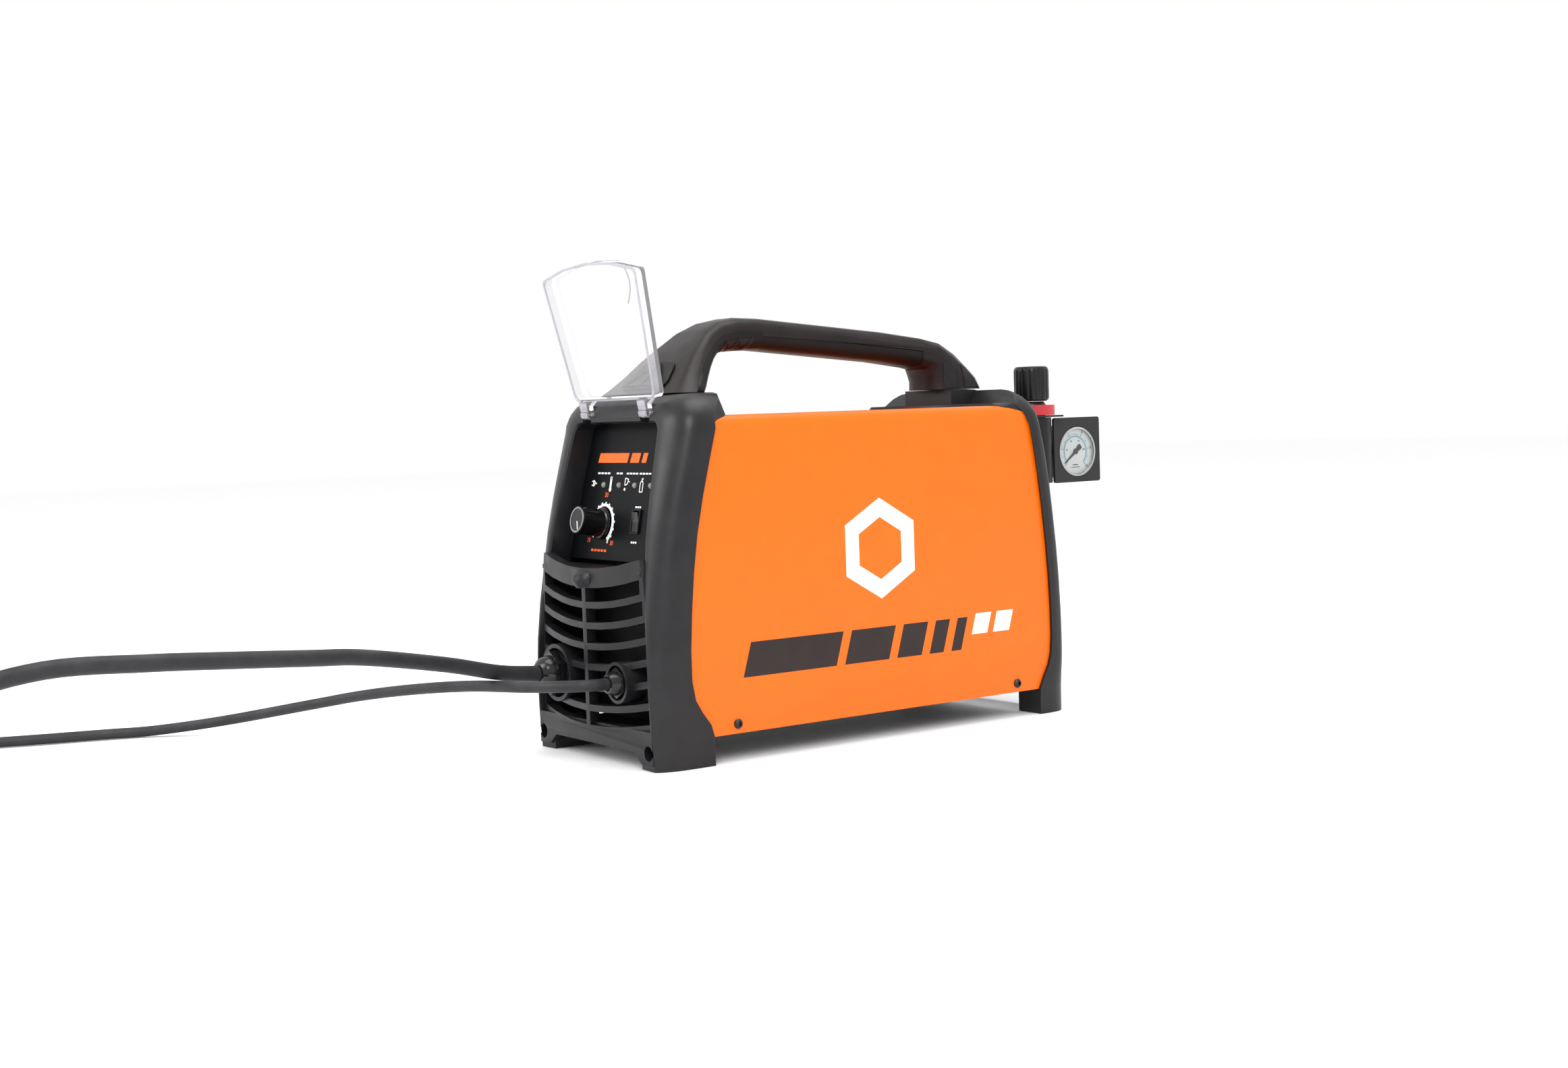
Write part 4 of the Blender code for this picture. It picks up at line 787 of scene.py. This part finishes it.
cover = refine("cover", "powderCoat", 0.0003, smoothAngle=30)
middleHeight = 0.13
# Faces of the cover that face inwards get near-black painted shade, for the shadow inside the case
secondFinish(
    cover, "paintedShadeBlack",
    lambda face: (
        face.normal.x * face.center.x + face.normal.z * (face.center.z - middleHeight) < 0
        and abs(face.normal.y) < 0.5
    ),
)

# Panel print
panelPrint = dict(
    low=0.00005, high=0.00022,
    stripe=[(-0.0425, -0.0010, 0.0072), (0.0030, 0.0150, 0.0072), (0.0190, 0.0250, 0.0072)],
    stripeHeight=0.0496, captions=[(-0.0421, -0.0234), (-0.0152, -0.0055), (-0.0008, 0.0160), (0.0172, 0.0340)],
    captionHeight=0.0380, captionTall=0.0012, scaleMiddle=(-0.0256, 0.0), scaleInner=0.0132,
)


def makePanelPrint(values):
    low, high = values["low"], values["high"]
    orange = []
    for start, end, tall in values["stripe"]:
        orange.append(bar((start + end) / 2, values["stripeHeight"], end - start, tall, low, high, lean=0.25))
    for x, y, words in ((-0.0250, 0.0216, "20"), (-0.0420, -0.0128, "10"), (-0.0092, -0.0142, "30")):
        orange.append(lettering(words, 0.0050, x, y, low, high))
    for step in range(5):
        orange.append(bar(-0.0350 + 0.0046 * step, -0.0200, 0.0034, 0.0017, low, high))
    white = []
    for start, end in values["captions"]:
        count = max(2, round((end - start) / 0.0042))
        pitch = (end - start) / count
        for step in range(count):
            middle = start + pitch * (step + 0.5)
            white.append(bar(middle, values["captionHeight"], pitch * 0.72, values["captionTall"], low, high))
    for y in (0.0133, -0.0126):
        for step in range(3):
            white.append(bar(0.0190 + 0.0028 * step, y, 0.0020, 0.0013, low, high))
    # Plug, thermometer, torch tip with a drop, and gas bottle, beside their lights
    white.append(arcBand((-0.0462, 0.0303), 0.0016, 0.0024, -math.pi / 2, math.pi / 2, low, high, 12))
    for points, wide in (
        ([(-0.0462, 0.0327), (-0.0462, 0.0279)], 0.0009),
        ([(-0.0462, 0.0318), (-0.0486, 0.0318)], 0.0008),
        ([(-0.0462, 0.0288), (-0.0486, 0.0288)], 0.0008),
        ([(-0.0440, 0.0303), (-0.0415, 0.0303)], 0.0008),
        ([(-0.0221, 0.0272), (-0.0221, 0.0352)], 0.0006),
        ([(-0.0203, 0.0272), (-0.0203, 0.0352)], 0.0006),
        ([(-0.0221, 0.0352), (-0.0203, 0.0352)], 0.0006),
        ([(-0.0212, 0.0268), (-0.0212, 0.0335)], 0.0007),
        ([(-0.0012, 0.0345), (0.0034, 0.0338), (0.0022, 0.0300), (-0.0010, 0.0292), (-0.0012, 0.0345)], 0.0007),
        ([(0.0034, 0.0322), (0.0052, 0.0318)], 0.0007),
        (
            [
                (0.0203, 0.0245), (0.0203, 0.0308), (0.0213, 0.0324), (0.0231, 0.0324), (0.0241, 0.0308),
                (0.0241, 0.0245), (0.0203, 0.0245)
            ],
            0.0007,
        ),
        ([(0.0222, 0.0324), (0.0222, 0.0342), (0.0240, 0.0342)], 0.0008),
    ):
        white += strokes(points, wide, low, high)
    white += [disc(-0.0212, 0.0258, 0.0016, low, high), disc(-0.0006, 0.0262, 0.0011, low, high, 16)]
    # The current scale widens clockwise and has a tooth at each step
    middle, inner = values["scaleMiddle"], values["scaleInner"]
    start, end = math.radians(222), math.radians(-52)
    white.append(arcBand(middle, inner, inner + 0.0008, start, end, low, high, 64, inner, inner + 0.0034))
    for step in range(15):
        share = step / 14
        turn = start + (end - start) * share
        outer = inner + 0.0008 + 0.0026 * share
        white += strokes(
            [
                (middle[0] + (outer - 0.0004) * math.cos(turn), middle[1] + (outer - 0.0004) * math.sin(turn)),
                (middle[0] + (outer + 0.0012) * math.cos(turn), middle[1] + (outer + 0.0012) * math.sin(turn)),
            ],
            0.0016, low, high,
        )
    return [
        printed("panel_orange_print", orange, "orangePrint", panelSeat, "case"),
        printed("panel_white_print", white, "whitePrint", panelSeat, "case"),
    ]


makePanelPrint(panelPrint)
printed("panel_header", [bar(0, 0.0768, 0.1120, 0.0110, -0.0022, -0.0006)], "membrane", panelSeat, "case")

# Current knob
currentKnob = dict(x=-0.0256, radius=0.0102, length=0.0225, skirt=0.0118, ribs=36, pointerTurn=math.radians(-70))


def makeCurrentKnob(values):
    radius, length, skirt = values["radius"], values["length"], values["skirt"]
    seat = panelSeat @ Matrix.Translation((values["x"], 0, 0))
    profile = [
        (0, length - 0.0004), (radius - 0.0026, length - 0.0004), (radius - 0.0022, length),
        (radius - 0.0008, length),
        (radius - 0.0002, length - 0.0003), (radius, length - 0.0010), (radius, length - 0.0022), (radius, 0.0042),
        (radius, 0.0036), (skirt - 0.0003, 0.0030), (skirt, 0.0024), (skirt, 0.0010), (skirt - 0.0003, 0.0007),
        (0.0034, 0.0007), (0.0034, 0.0128), (0, 0.0128),
    ]
    shape = ribbedShape(profile, values["ribs"] * 2, 2, 1, 0.00022, 0.0042, length - 0.0022, radius - 0.0001)
    knob = finishPiece(
        "current_knob_fine", meshFrom(shape, "current_knob_fine", seat), "glossBlack", "current_knob", 30
    )
    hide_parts("current_knob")
    rim = turnedShape(
        [
            (radius - 0.0017, length), (radius - 0.0016, length + 0.0001), (radius - 0.0011, length + 0.0001),
            (radius - 0.0010, length)
        ]
    )
    printed("knob_face_ring", [rim], "steel", seat, "current_knob")
    turn = values["pointerTurn"]
    tip = radius - 0.0026
    line = [(0.0012 * math.cos(turn), 0.0012 * math.sin(turn)), (tip * math.cos(turn), tip * math.sin(turn))]
    printed(
        "knob_pointer", strokes(line, 0.0008, length - 0.0005, length - 0.0002), "whitePrint", seat, "current_knob",
    )


makeCurrentKnob(currentKnob)

# Regulator knob and neck
regulatorKnob = dict(
    x=0.0243, y=0.2150 + caseShift, segments=96, ribEvery=6, ribWide=4, depth=0.0008, neckRadius=0.0098
)


def makeRegulatorKnob(values):
    lowest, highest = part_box("regulator_knob")
    radius = (highest.x - lowest.x) / 2
    tall = highest.z - lowest.z
    seat = Matrix.Translation((values["x"], values["y"], lowest.z))
    profile = [
        (0, tall - 0.0006), (radius - 0.0052, tall - 0.0004), (radius - 0.0026, tall),
        (radius - 0.0012, tall - 0.0007),
        (radius - 0.0003, tall - 0.0022), (radius, tall - 0.0040), (radius, 0.0030), (radius - 0.0006, 0.0012),
        (radius - 0.0022, 0.0), (0, 0.0),
    ]
    shape = ribbedShape(
        profile, values["segments"], values["ribEvery"], values["ribWide"], values["depth"], 0.0030, tall - 0.0040,
        radius - 0.0001
    )
    knob = finishPiece(
        "regulator_knob_fine", meshFrom(shape, "regulator_knob_fine", seat), "satinBlack", "regulator_knob",
        30
    )
    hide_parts("regulator_knob")
    neckTop = lowest.z - 0.0003
    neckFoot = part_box("regulator_collar")[1].z - 0.0010
    neck = turnedShape(
        [(0, neckTop), (values["neckRadius"], neckTop), (values["neckRadius"] + 0.0020, neckFoot + 0.0010),
         (values["neckRadius"] + 0.0020, neckFoot), (0, neckFoot)]
    )
    printed(
        "regulator_neck", [neck], "satinBlack", Matrix.Translation((values["x"], values["y"], 0)), "case"
    )


makeRegulatorKnob(regulatorKnob)

# Gauge
gauge = dict(
    y=0.2550 + caseShift, z=0.2070, arcInner=0.0122, arcOuter=0.0134, tickFrom=0.0140, first=225, last=-45,
    needleTurn=218
)


def makeGauge(values):
    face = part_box("gauge_dial")[1].x
    seat = Matrix(((0, 0, 1, face), (1, 0, 0, values["y"]), (0, 1, 0, values["z"]), (0, 0, 0, 1)))
    low, high = 0.00004, 0.00016
    first, last = math.radians(values["first"]), math.radians(values["last"])
    blue = [arcBand((0, 0), values["arcInner"], values["arcOuter"], first, last, low, high, 64)]
    printed("gauge_arc", blue, "bluePrint", seat, "case")
    marks = []
    for step in range(51):
        turn = first + (last - first) * step / 50
        outer = values["tickFrom"] + (0.0020 if step % 10 == 0 else 0.0012 if step % 5 == 0 else 0.0007)
        near, far = values["tickFrom"], outer
        marks += strokes(
            [(near * math.cos(turn), near * math.sin(turn)), (far * math.cos(turn), far * math.sin(turn))],
            0.0004 if step % 5 == 0 else 0.0002, low, high,
        )
    for step in range(6):
        turn = first + (last - first) * step / 5
        marks.append(lettering(str(step * 2), 0.0032, 0.0180 * math.cos(turn), 0.0180 * math.sin(turn), low, high))
    for step in range(1, 5):
        turn = first + (last - first) * step / 5
        marks.append(lettering(str(step * 30), 0.0022, 0.0098 * math.cos(turn), 0.0098 * math.sin(turn), low, high))
    marks.append(bar(0.0, -0.0112, 0.0060, 0.0008, low, high))
    marks.append(bar(0.0, -0.0132, 0.0100, 0.0006, low, high))
    printed("gauge_marks", marks, "darkPrint", seat, "case")
    lensLow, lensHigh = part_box("gauge_lens")
    radius = (lensHigh.y - lensLow.y) / 2
    rim = turnedShape(
        [
            (radius - 0.0022, 0.0), (radius - 0.0019, 0.0009), (radius - 0.0004, 0.0010),
            (radius - 0.00005, 0.0002), (radius - 0.00005, -0.0004)
        ], 72
    )
    rimSeat = Matrix(((0, 0, 1, lensHigh.x - 0.0004), (1, 0, 0, values["y"]), (0, 1, 0, values["z"]), (0, 0, 0, 1)))
    printed("gauge_rim", [rim], "steel", rimSeat, "case")
    wall = turnedShape([(radius - 0.0004, 0.0001), (radius - 0.0006, lensLow.x - face - 0.0002)], 72)
    printed("gauge_wall", [wall], "dialCard", seat, "case")
    needleLow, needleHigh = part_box("gauge_needle")
    turn = Matrix.Rotation(math.radians(values["needleTurn"]), 4, "Z")
    thick = needleHigh.x - needleLow.x
    outline = [
        (-0.0078, -0.0020), (-0.0050, -0.0023), (-0.0018, -0.0014), (0.0020, -0.0011), (0.0160, -0.0003),
        (0.0160, 0.0003), (0.0020, 0.0011), (-0.0018, 0.0014), (-0.0050, 0.0023), (-0.0078, 0.0020),
    ]
    needleSeat = Matrix(
        ((0, 0, 1, needleLow.x), (1, 0, 0, values["y"]), (0, 1, 0, values["z"]), (0, 0, 0, 1))
    ) @ turn
    needle = printed(
        "gauge_needle_fine", [extruded(outline, 0, thick * 0.6), disc(0, 0, 0.0024, 0, thick)], "darkPrint",
        needleSeat, "gauge_needle"
    )
    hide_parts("gauge_needle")


makeGauge(gauge)

# Cover screws
coverScrew = dict(headRadius=0.0036, headTall=0.0022, socket=0.0017, socketDeep=0.0013)


def makeScrews(values):
    head, tall, socket = values["headRadius"], values["headTall"], values["socket"]
    for node in (
        "cover_screw_left_front", "cover_screw_left_rear", "cover_screw_right_front", "cover_screw_right_rear"
    ):
        lowest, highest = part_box(node)
        side = 1 if "right" in node else -1
        base = highest.x - tall if side > 0 else lowest.x + tall
        profile = [
            (0, tall - values["socketDeep"]), (socket, tall - values["socketDeep"]), (socket, tall - 0.0001),
            (socket + 0.0002, tall), (socket + 0.0008, tall - 0.0002), (head - 0.0005, tall - 0.0010),
            (head, tall - 0.0017),
            (head, 0.00005), (0.0019, 0.00005), (0.0019, -0.0079), (0, -0.0079),
        ]
        shape = turnedShape(profile, 36)
        for vert in shape.verts:
            radius = math.hypot(vert.co.x, vert.co.y)
            if 1e-5 < radius < socket + 1e-4 and vert.co.z > 0.0002:
                turn = math.atan2(vert.co.y, vert.co.x) % (math.pi / 3) - math.pi / 6
                vert.co.x *= math.cos(math.pi / 6) / math.cos(turn)
                vert.co.y *= math.cos(math.pi / 6) / math.cos(turn)
        middle = (lowest + highest) / 2
        seat = Matrix.Translation((base, middle.y, middle.z)) @ Matrix.Rotation(side * math.pi / 2, 4, "Y")
        screw = finishPiece(
            node + "_fine", meshFrom(shape, node + "_fine", seat), "glossBlack", "case", 35
        )
        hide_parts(node)


makeScrews(coverScrew)

# Cover graphics: plain shapes that stand for no mark
coverPrint = dict(
    hexMiddle=(-0.0010, 0.1440), hexOuter=0.0380, hexInner=0.0235, low=0.00003, high=0.00015,
    darkBars=[(-0.1260, -0.0420), (-0.0340, 0.0080), (0.0160, 0.0400), (0.0480, 0.0620), (0.0700, 0.0800)],
    darkHeight=0.0720, darkTall=0.0250, whiteBars=[(0.0900, 0.1060), (0.1120, 0.1290)], whiteHeight=0.0785,
    whiteTall=0.0160,
)


def makeCoverPrint(values):
    low, high = values["low"], values["high"]
    for side, name in ((1, "right"), (-1, "left")):
        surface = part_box("cover")[1 if side > 0 else 0].x
        seat = Matrix(((0, 0, side, surface), (side, 0, 0, caseShift), (0, 1, 0, 0), (0, 0, 0, 1)))
        flip = side
        middle = (flip * values["hexMiddle"][0], values["hexMiddle"][1])
        quarter = math.pi / 2
        white = [
            arcBand(
                middle, values["hexInner"], values["hexOuter"], quarter, quarter - math.radians(359.9), low, high, 6
            )
        ]
        dark = []
        for bars, height, tall, kept in (
            (values["whiteBars"], values["whiteHeight"], values["whiteTall"], white),
            (values["darkBars"], values["darkHeight"], values["darkTall"], dark),
        ):
            for start, end in bars:
                kept.append(bar(flip * (start + end) / 2, height, end - start, tall, low, high, lean=0.3))
        printed("cover_white_print_" + name, white, "whitePrint", seat, "case")
        printed("cover_dark_print_" + name, dark, "darkPrint", seat, "case")


makeCoverPrint(coverPrint)

# Lid
lidShape = dict(lean=math.radians(12), hinge=(0, -0.1755 + caseShift, 0.2515), highlightThick=0.0012, pullX=0.0400)


def makeLid(values):
    normal = Vector((0, math.cos(values["lean"]), math.sin(values["lean"])))
    lid = refine("lid", "clearLid", 0.0003, smoothAngle=35)
    secondFinish(lid, "clearWall", lambda face: abs(face.normal.dot(normal)) < 0.5 and face.center.z > 0.2600)
    # The rim of the tray's wall gets a pale strip: a painted highlight where the rim catches the light
    bm = bmesh.new()
    bm.from_mesh(lid.data)
    deepest = min(vert.co.dot(normal) for vert in bm.verts if vert.co.z > 0.2800)
    outermost = max(vert.co.dot(normal) for vert in bm.verts if vert.co.z > 0.2800)
    unwanted = [
        face for face in bm.faces
        if abs(face.normal.dot(normal)) < 0.9 or face.calc_center_median().dot(normal) > deepest + 0.0012
    ]
    bmesh.ops.delete(bm, geom=unwanted, context="FACES")
    mesh = bpy.data.meshes.new("lid_rim_highlight")
    bm.to_mesh(mesh)
    bm.free()
    rimHighlight = finishPiece("lid_rim_highlight", mesh, "paintedHighlightEdge", "lid")
    thick = rimHighlight.modifiers.new("thick", "SOLIDIFY")
    thick.thickness = values["highlightThick"]
    thick.offset = 0
    roundEdges(rimHighlight, 0.0004)
    # A curved finger pull near the free corner, drawn as a pale line of painted highlight
    along = Vector((0, -math.sin(values["lean"]), math.cos(values["lean"])))
    points = []
    for step in range(13):
        share = step / 12
        x = values["pullX"] + 0.0060 * math.sin(math.pi * share) - 0.0040 * share
        up = 0.1060 - 0.0280 * share
        point = Vector(values["hinge"]) + Vector((x, 0, 0)) + along * up
        points.append(point + normal * (outermost - point.dot(normal) + 0.0003))
    pull = cordCurve("lid_pull", points, 0.0012, "paintedHighlightEdge", "lid")
    return lid, pull


makeLid(lidShape)

# Handle liner, ribbed pocket and rear pockets; the pockets are flush near-black skins, painted shade for their
# recesses
handleShape = dict(
    inner=[
        (-0.1322, 0.2640), (-0.1262, 0.2690), (-0.1205, 0.2755), (-0.1140, 0.2830), (-0.1075, 0.2890),
        (-0.1000, 0.2935), (-0.0920, 0.2960), (-0.0790, 0.2970), (-0.0553, 0.2970),
    ],
    outer=[
        (-0.1570, 0.2640), (-0.1500, 0.2715), (-0.1410, 0.2800), (-0.1310, 0.2905), (-0.1205, 0.3000),
        (-0.1080, 0.3105), (-0.0940, 0.3175), (-0.0780, 0.3208), (-0.0553, 0.3202),
    ],
    share=[0.46, 0.46, 0.46, 0.47, 0.48, 0.50, 0.53, 0.56, 0.56],
    pocket=[
        (-0.1010, 0.2925), (-0.0960, 0.2990), (-0.0890, 0.3022), (-0.0800, 0.3042), (-0.0640, 0.3052),
        (-0.0650, 0.3010), (-0.0680, 0.2975), (-0.0730, 0.2950), (-0.0850, 0.2940), (-0.0940, 0.2920),
    ],
    ribs=[
        ((-0.0965, 0.2950), (-0.0900, 0.3030)), ((-0.0900, 0.3030), (-0.0860, 0.2950)),
        ((-0.0860, 0.2950), (-0.0780, 0.3050)),
        ((-0.0780, 0.3050), (-0.0745, 0.2950)), ((-0.0745, 0.2950), (-0.0655, 0.3060)),
    ],
    rearPockets=[
        [(0.1222, 0.2640), (0.1218, 0.2840), (0.1330, 0.2840), (0.1345, 0.2640)],
        [(0.1425, 0.2640), (0.1415, 0.2830), (0.1490, 0.2790), (0.1540, 0.2720), (0.1560, 0.2640)],
    ],
)


def prism(outline):
    # An outline in the side view, as a block right across the case
    bm = extruded([(y + caseShift, z) for y, z in outline], -0.1, 0.1)
    bm.transform(Matrix(((0, 0, 1, 0), (1, 0, 0, 0), (0, 1, 0, 0), (0, 0, 0, 1))))
    bmesh.ops.recalc_face_normals(bm, faces=bm.faces)
    return bm


def handleSkin(name, shapes, proud, finish):
    # The part of the handle inside some side-view blocks, standing a little proud of it
    bm = bmesh.new()
    bm.from_mesh(frame["nodes"]["handle_shell"].data)
    bmesh.ops.remove_doubles(bm, verts=bm.verts, dist=2e-6)
    for vert in bm.verts:
        vert.normal_update()
    places = [vert.co + vert.normal * proud for vert in bm.verts]
    for vert, place in zip(bm.verts, places):
        vert.co = place
    mesh = bpy.data.meshes.new(name)
    bm.to_mesh(mesh)
    bm.free()
    block = joinShapes(shapes)
    blockMesh = bpy.data.meshes.new("block")
    block.to_mesh(blockMesh)
    block.free()
    blockObject = bpy.data.objects.new("block", blockMesh)
    scene.collection.objects.link(blockObject)
    obj = bpy.data.objects.new(name, mesh)
    scene.collection.objects.link(obj)
    common = obj.modifiers.new("common", "BOOLEAN")
    common.operation = "INTERSECT"
    common.solver = "EXACT"
    common.use_self = True
    common.object = blockObject
    kept = bpy.data.meshes.new_from_object(obj.evaluated_get(bpy.context.evaluated_depsgraph_get()))
    bpy.data.objects.remove(obj)
    bpy.data.objects.remove(blockObject)
    kept.name = name
    return finishPiece(name, kept, finish, "case", 44)


def makeHandleSkins(values):
    liner = []
    for (inY, inZ), (outY, outZ), share in zip(values["inner"], values["outer"], values["share"]):
        liner.append((inY + (outY - inY) * share, inZ + (outZ - inZ) * share))
    below = [(y + 0.004, z - 0.004) for y, z in values["inner"]]
    handleSkin("handle_liner", [prism(liner + below[::-1])], 0.0003, "gripRubber")
    # Painted shade: a flush near-black skin where the ribbed pocket's recess is
    handleSkin("handle_pocket", [prism(values["pocket"])], 0.0005, "paintedShadeBlack")
    handleSkin(
        "handle_pocket_ribs", [prismStroke(a, b, 0.0011) for a, b in values["ribs"]], 0.0009, "handlePlastic",
    )
    # Painted shade: flush near-black skins where the rear pockets' recesses are
    handleSkin(
        "handle_rear_pockets", [prism(outline) for outline in values["rearPockets"]], 0.0004, "paintedShadeBlack"
    )


def prismStroke(a, b, wide):
    along = (Vector(b) - Vector(a)).normalized()
    across = Vector((-along.y, along.x)) * wide / 2
    corners = [Vector(a) + across, Vector(a) - across, Vector(b) - across, Vector(b) + across]
    return prism([tuple(corner) for corner in corners])


makeHandleSkins(handleShape)

# Gusset ribs over the inlay behind the lid
inlayRibs = dict(
    foot=(0, -0.1570 + caseShift, 0.2648), lift=math.atan2(0.0255, 0.0260), low=0.0013, high=0.0028, wide=0.0014
)


def makeInlayRibs(values):
    seat = Matrix.Translation(values["foot"]) @ Matrix.Rotation(values["lift"], 4, "X")
    low, high, wide = values["low"], values["high"], values["wide"]
    shapes = strokes([(-0.0240, 0.0085), (-0.0030, 0.0290), (0.0030, 0.0290), (0.0240, 0.0085)], wide, low, high)
    shapes += strokes([(-0.0250, 0.0085), (0.0250, 0.0085)], wide, low, high)
    shapes += strokes([(0.0, 0.0085), (0.0, 0.0290)], wide, low, high)
    printed("inlay_ribs", shapes, "handlePlastic", seat, "case")


makeInlayRibs(inlayRibs)

# Painted shade behind the grille: a dark sheet and a floor strip that stand for the shadow inside the case
grilleShadeBaffle = dict(half=0.0770, y=-0.1785, thick=0.0010, foot=0.0200, top=0.1400, front=-0.2300)


def makeShadeBaffle(values):
    upright = bar(
        0, (values["foot"] + values["top"]) / 2, values["half"] * 2, values["top"] - values["foot"], 0,
        values["thick"]
    )
    upright.transform(Matrix.Translation((0, values["y"], 0)) @ Matrix.Rotation(math.pi / 2, 4, "X"))
    floorStrip = bar(
        0, (values["front"] + values["y"]) / 2, values["half"] * 1.8, values["y"] - values["front"], values["foot"],
        values["foot"] + values["thick"]
    )
    printed("grille_shade_baffle", [upright, floorStrip], "paintedShadeBlack", flat, "case")


makeShadeBaffle(grilleShadeBaffle)
print("details made")


stage = dict(
    floorColour=(0.97, 0.97, 0.975), worldColour=(1.0, 1.0, 1.0), worldStrength=1.0, floorRough=0.6
)
lamps = [
    dict(name="key", place=(2.0, -1.6, 1.9), aim=(0.0, 0.0, 0.1), size=1.6, power=46),
    dict(name="front", place=(-0.9, -2.2, 1.2), aim=(0.0, -0.2, 0.15), size=1.4, power=26),
    dict(name="top", place=(0.2, 0.3, 2.4), aim=(0.0, 0.0, 0.0), size=2.0, power=34),
]


def makeStage():
    bm = bmesh.new()
    bmesh.ops.create_grid(bm, x_segments=1, y_segments=1, size=8)
    floor = bpy.data.objects.new("floor", meshFrom(bm, "floor", Matrix.Translation((0, 0, floorZ - 0.0002))))
    scene.collection.objects.link(floor)
    paint = bpy.data.materials.new("paleFloor")
    paint.use_nodes = True
    surface = paint.node_tree.nodes["Principled BSDF"]
    surface.inputs["Base Color"].default_value = (*stage["floorColour"], 1)
    surface.inputs["Roughness"].default_value = stage["floorRough"]
    floor.data.materials.append(paint)
    world = bpy.data.worlds.new("studio")
    world.use_nodes = True
    background = world.node_tree.nodes["Background"]
    background.inputs["Color"].default_value = (*stage["worldColour"], 1)
    background.inputs["Strength"].default_value = stage["worldStrength"]
    scene.world = world
    for values in lamps:
        data = bpy.data.lights.new(values["name"], "AREA")
        data.shape = "DISK"
        data.size = values["size"]
        data.energy = values["power"]
        lamp = bpy.data.objects.new(values["name"], data)
        scene.collection.objects.link(lamp)
        lamp.location = values["place"]
        aim = Vector(values["aim"]) - Vector(values["place"])
        lamp.rotation_euler = aim.to_track_quat("-Z", "Y").to_euler()


makeStage()
print("stage lit")
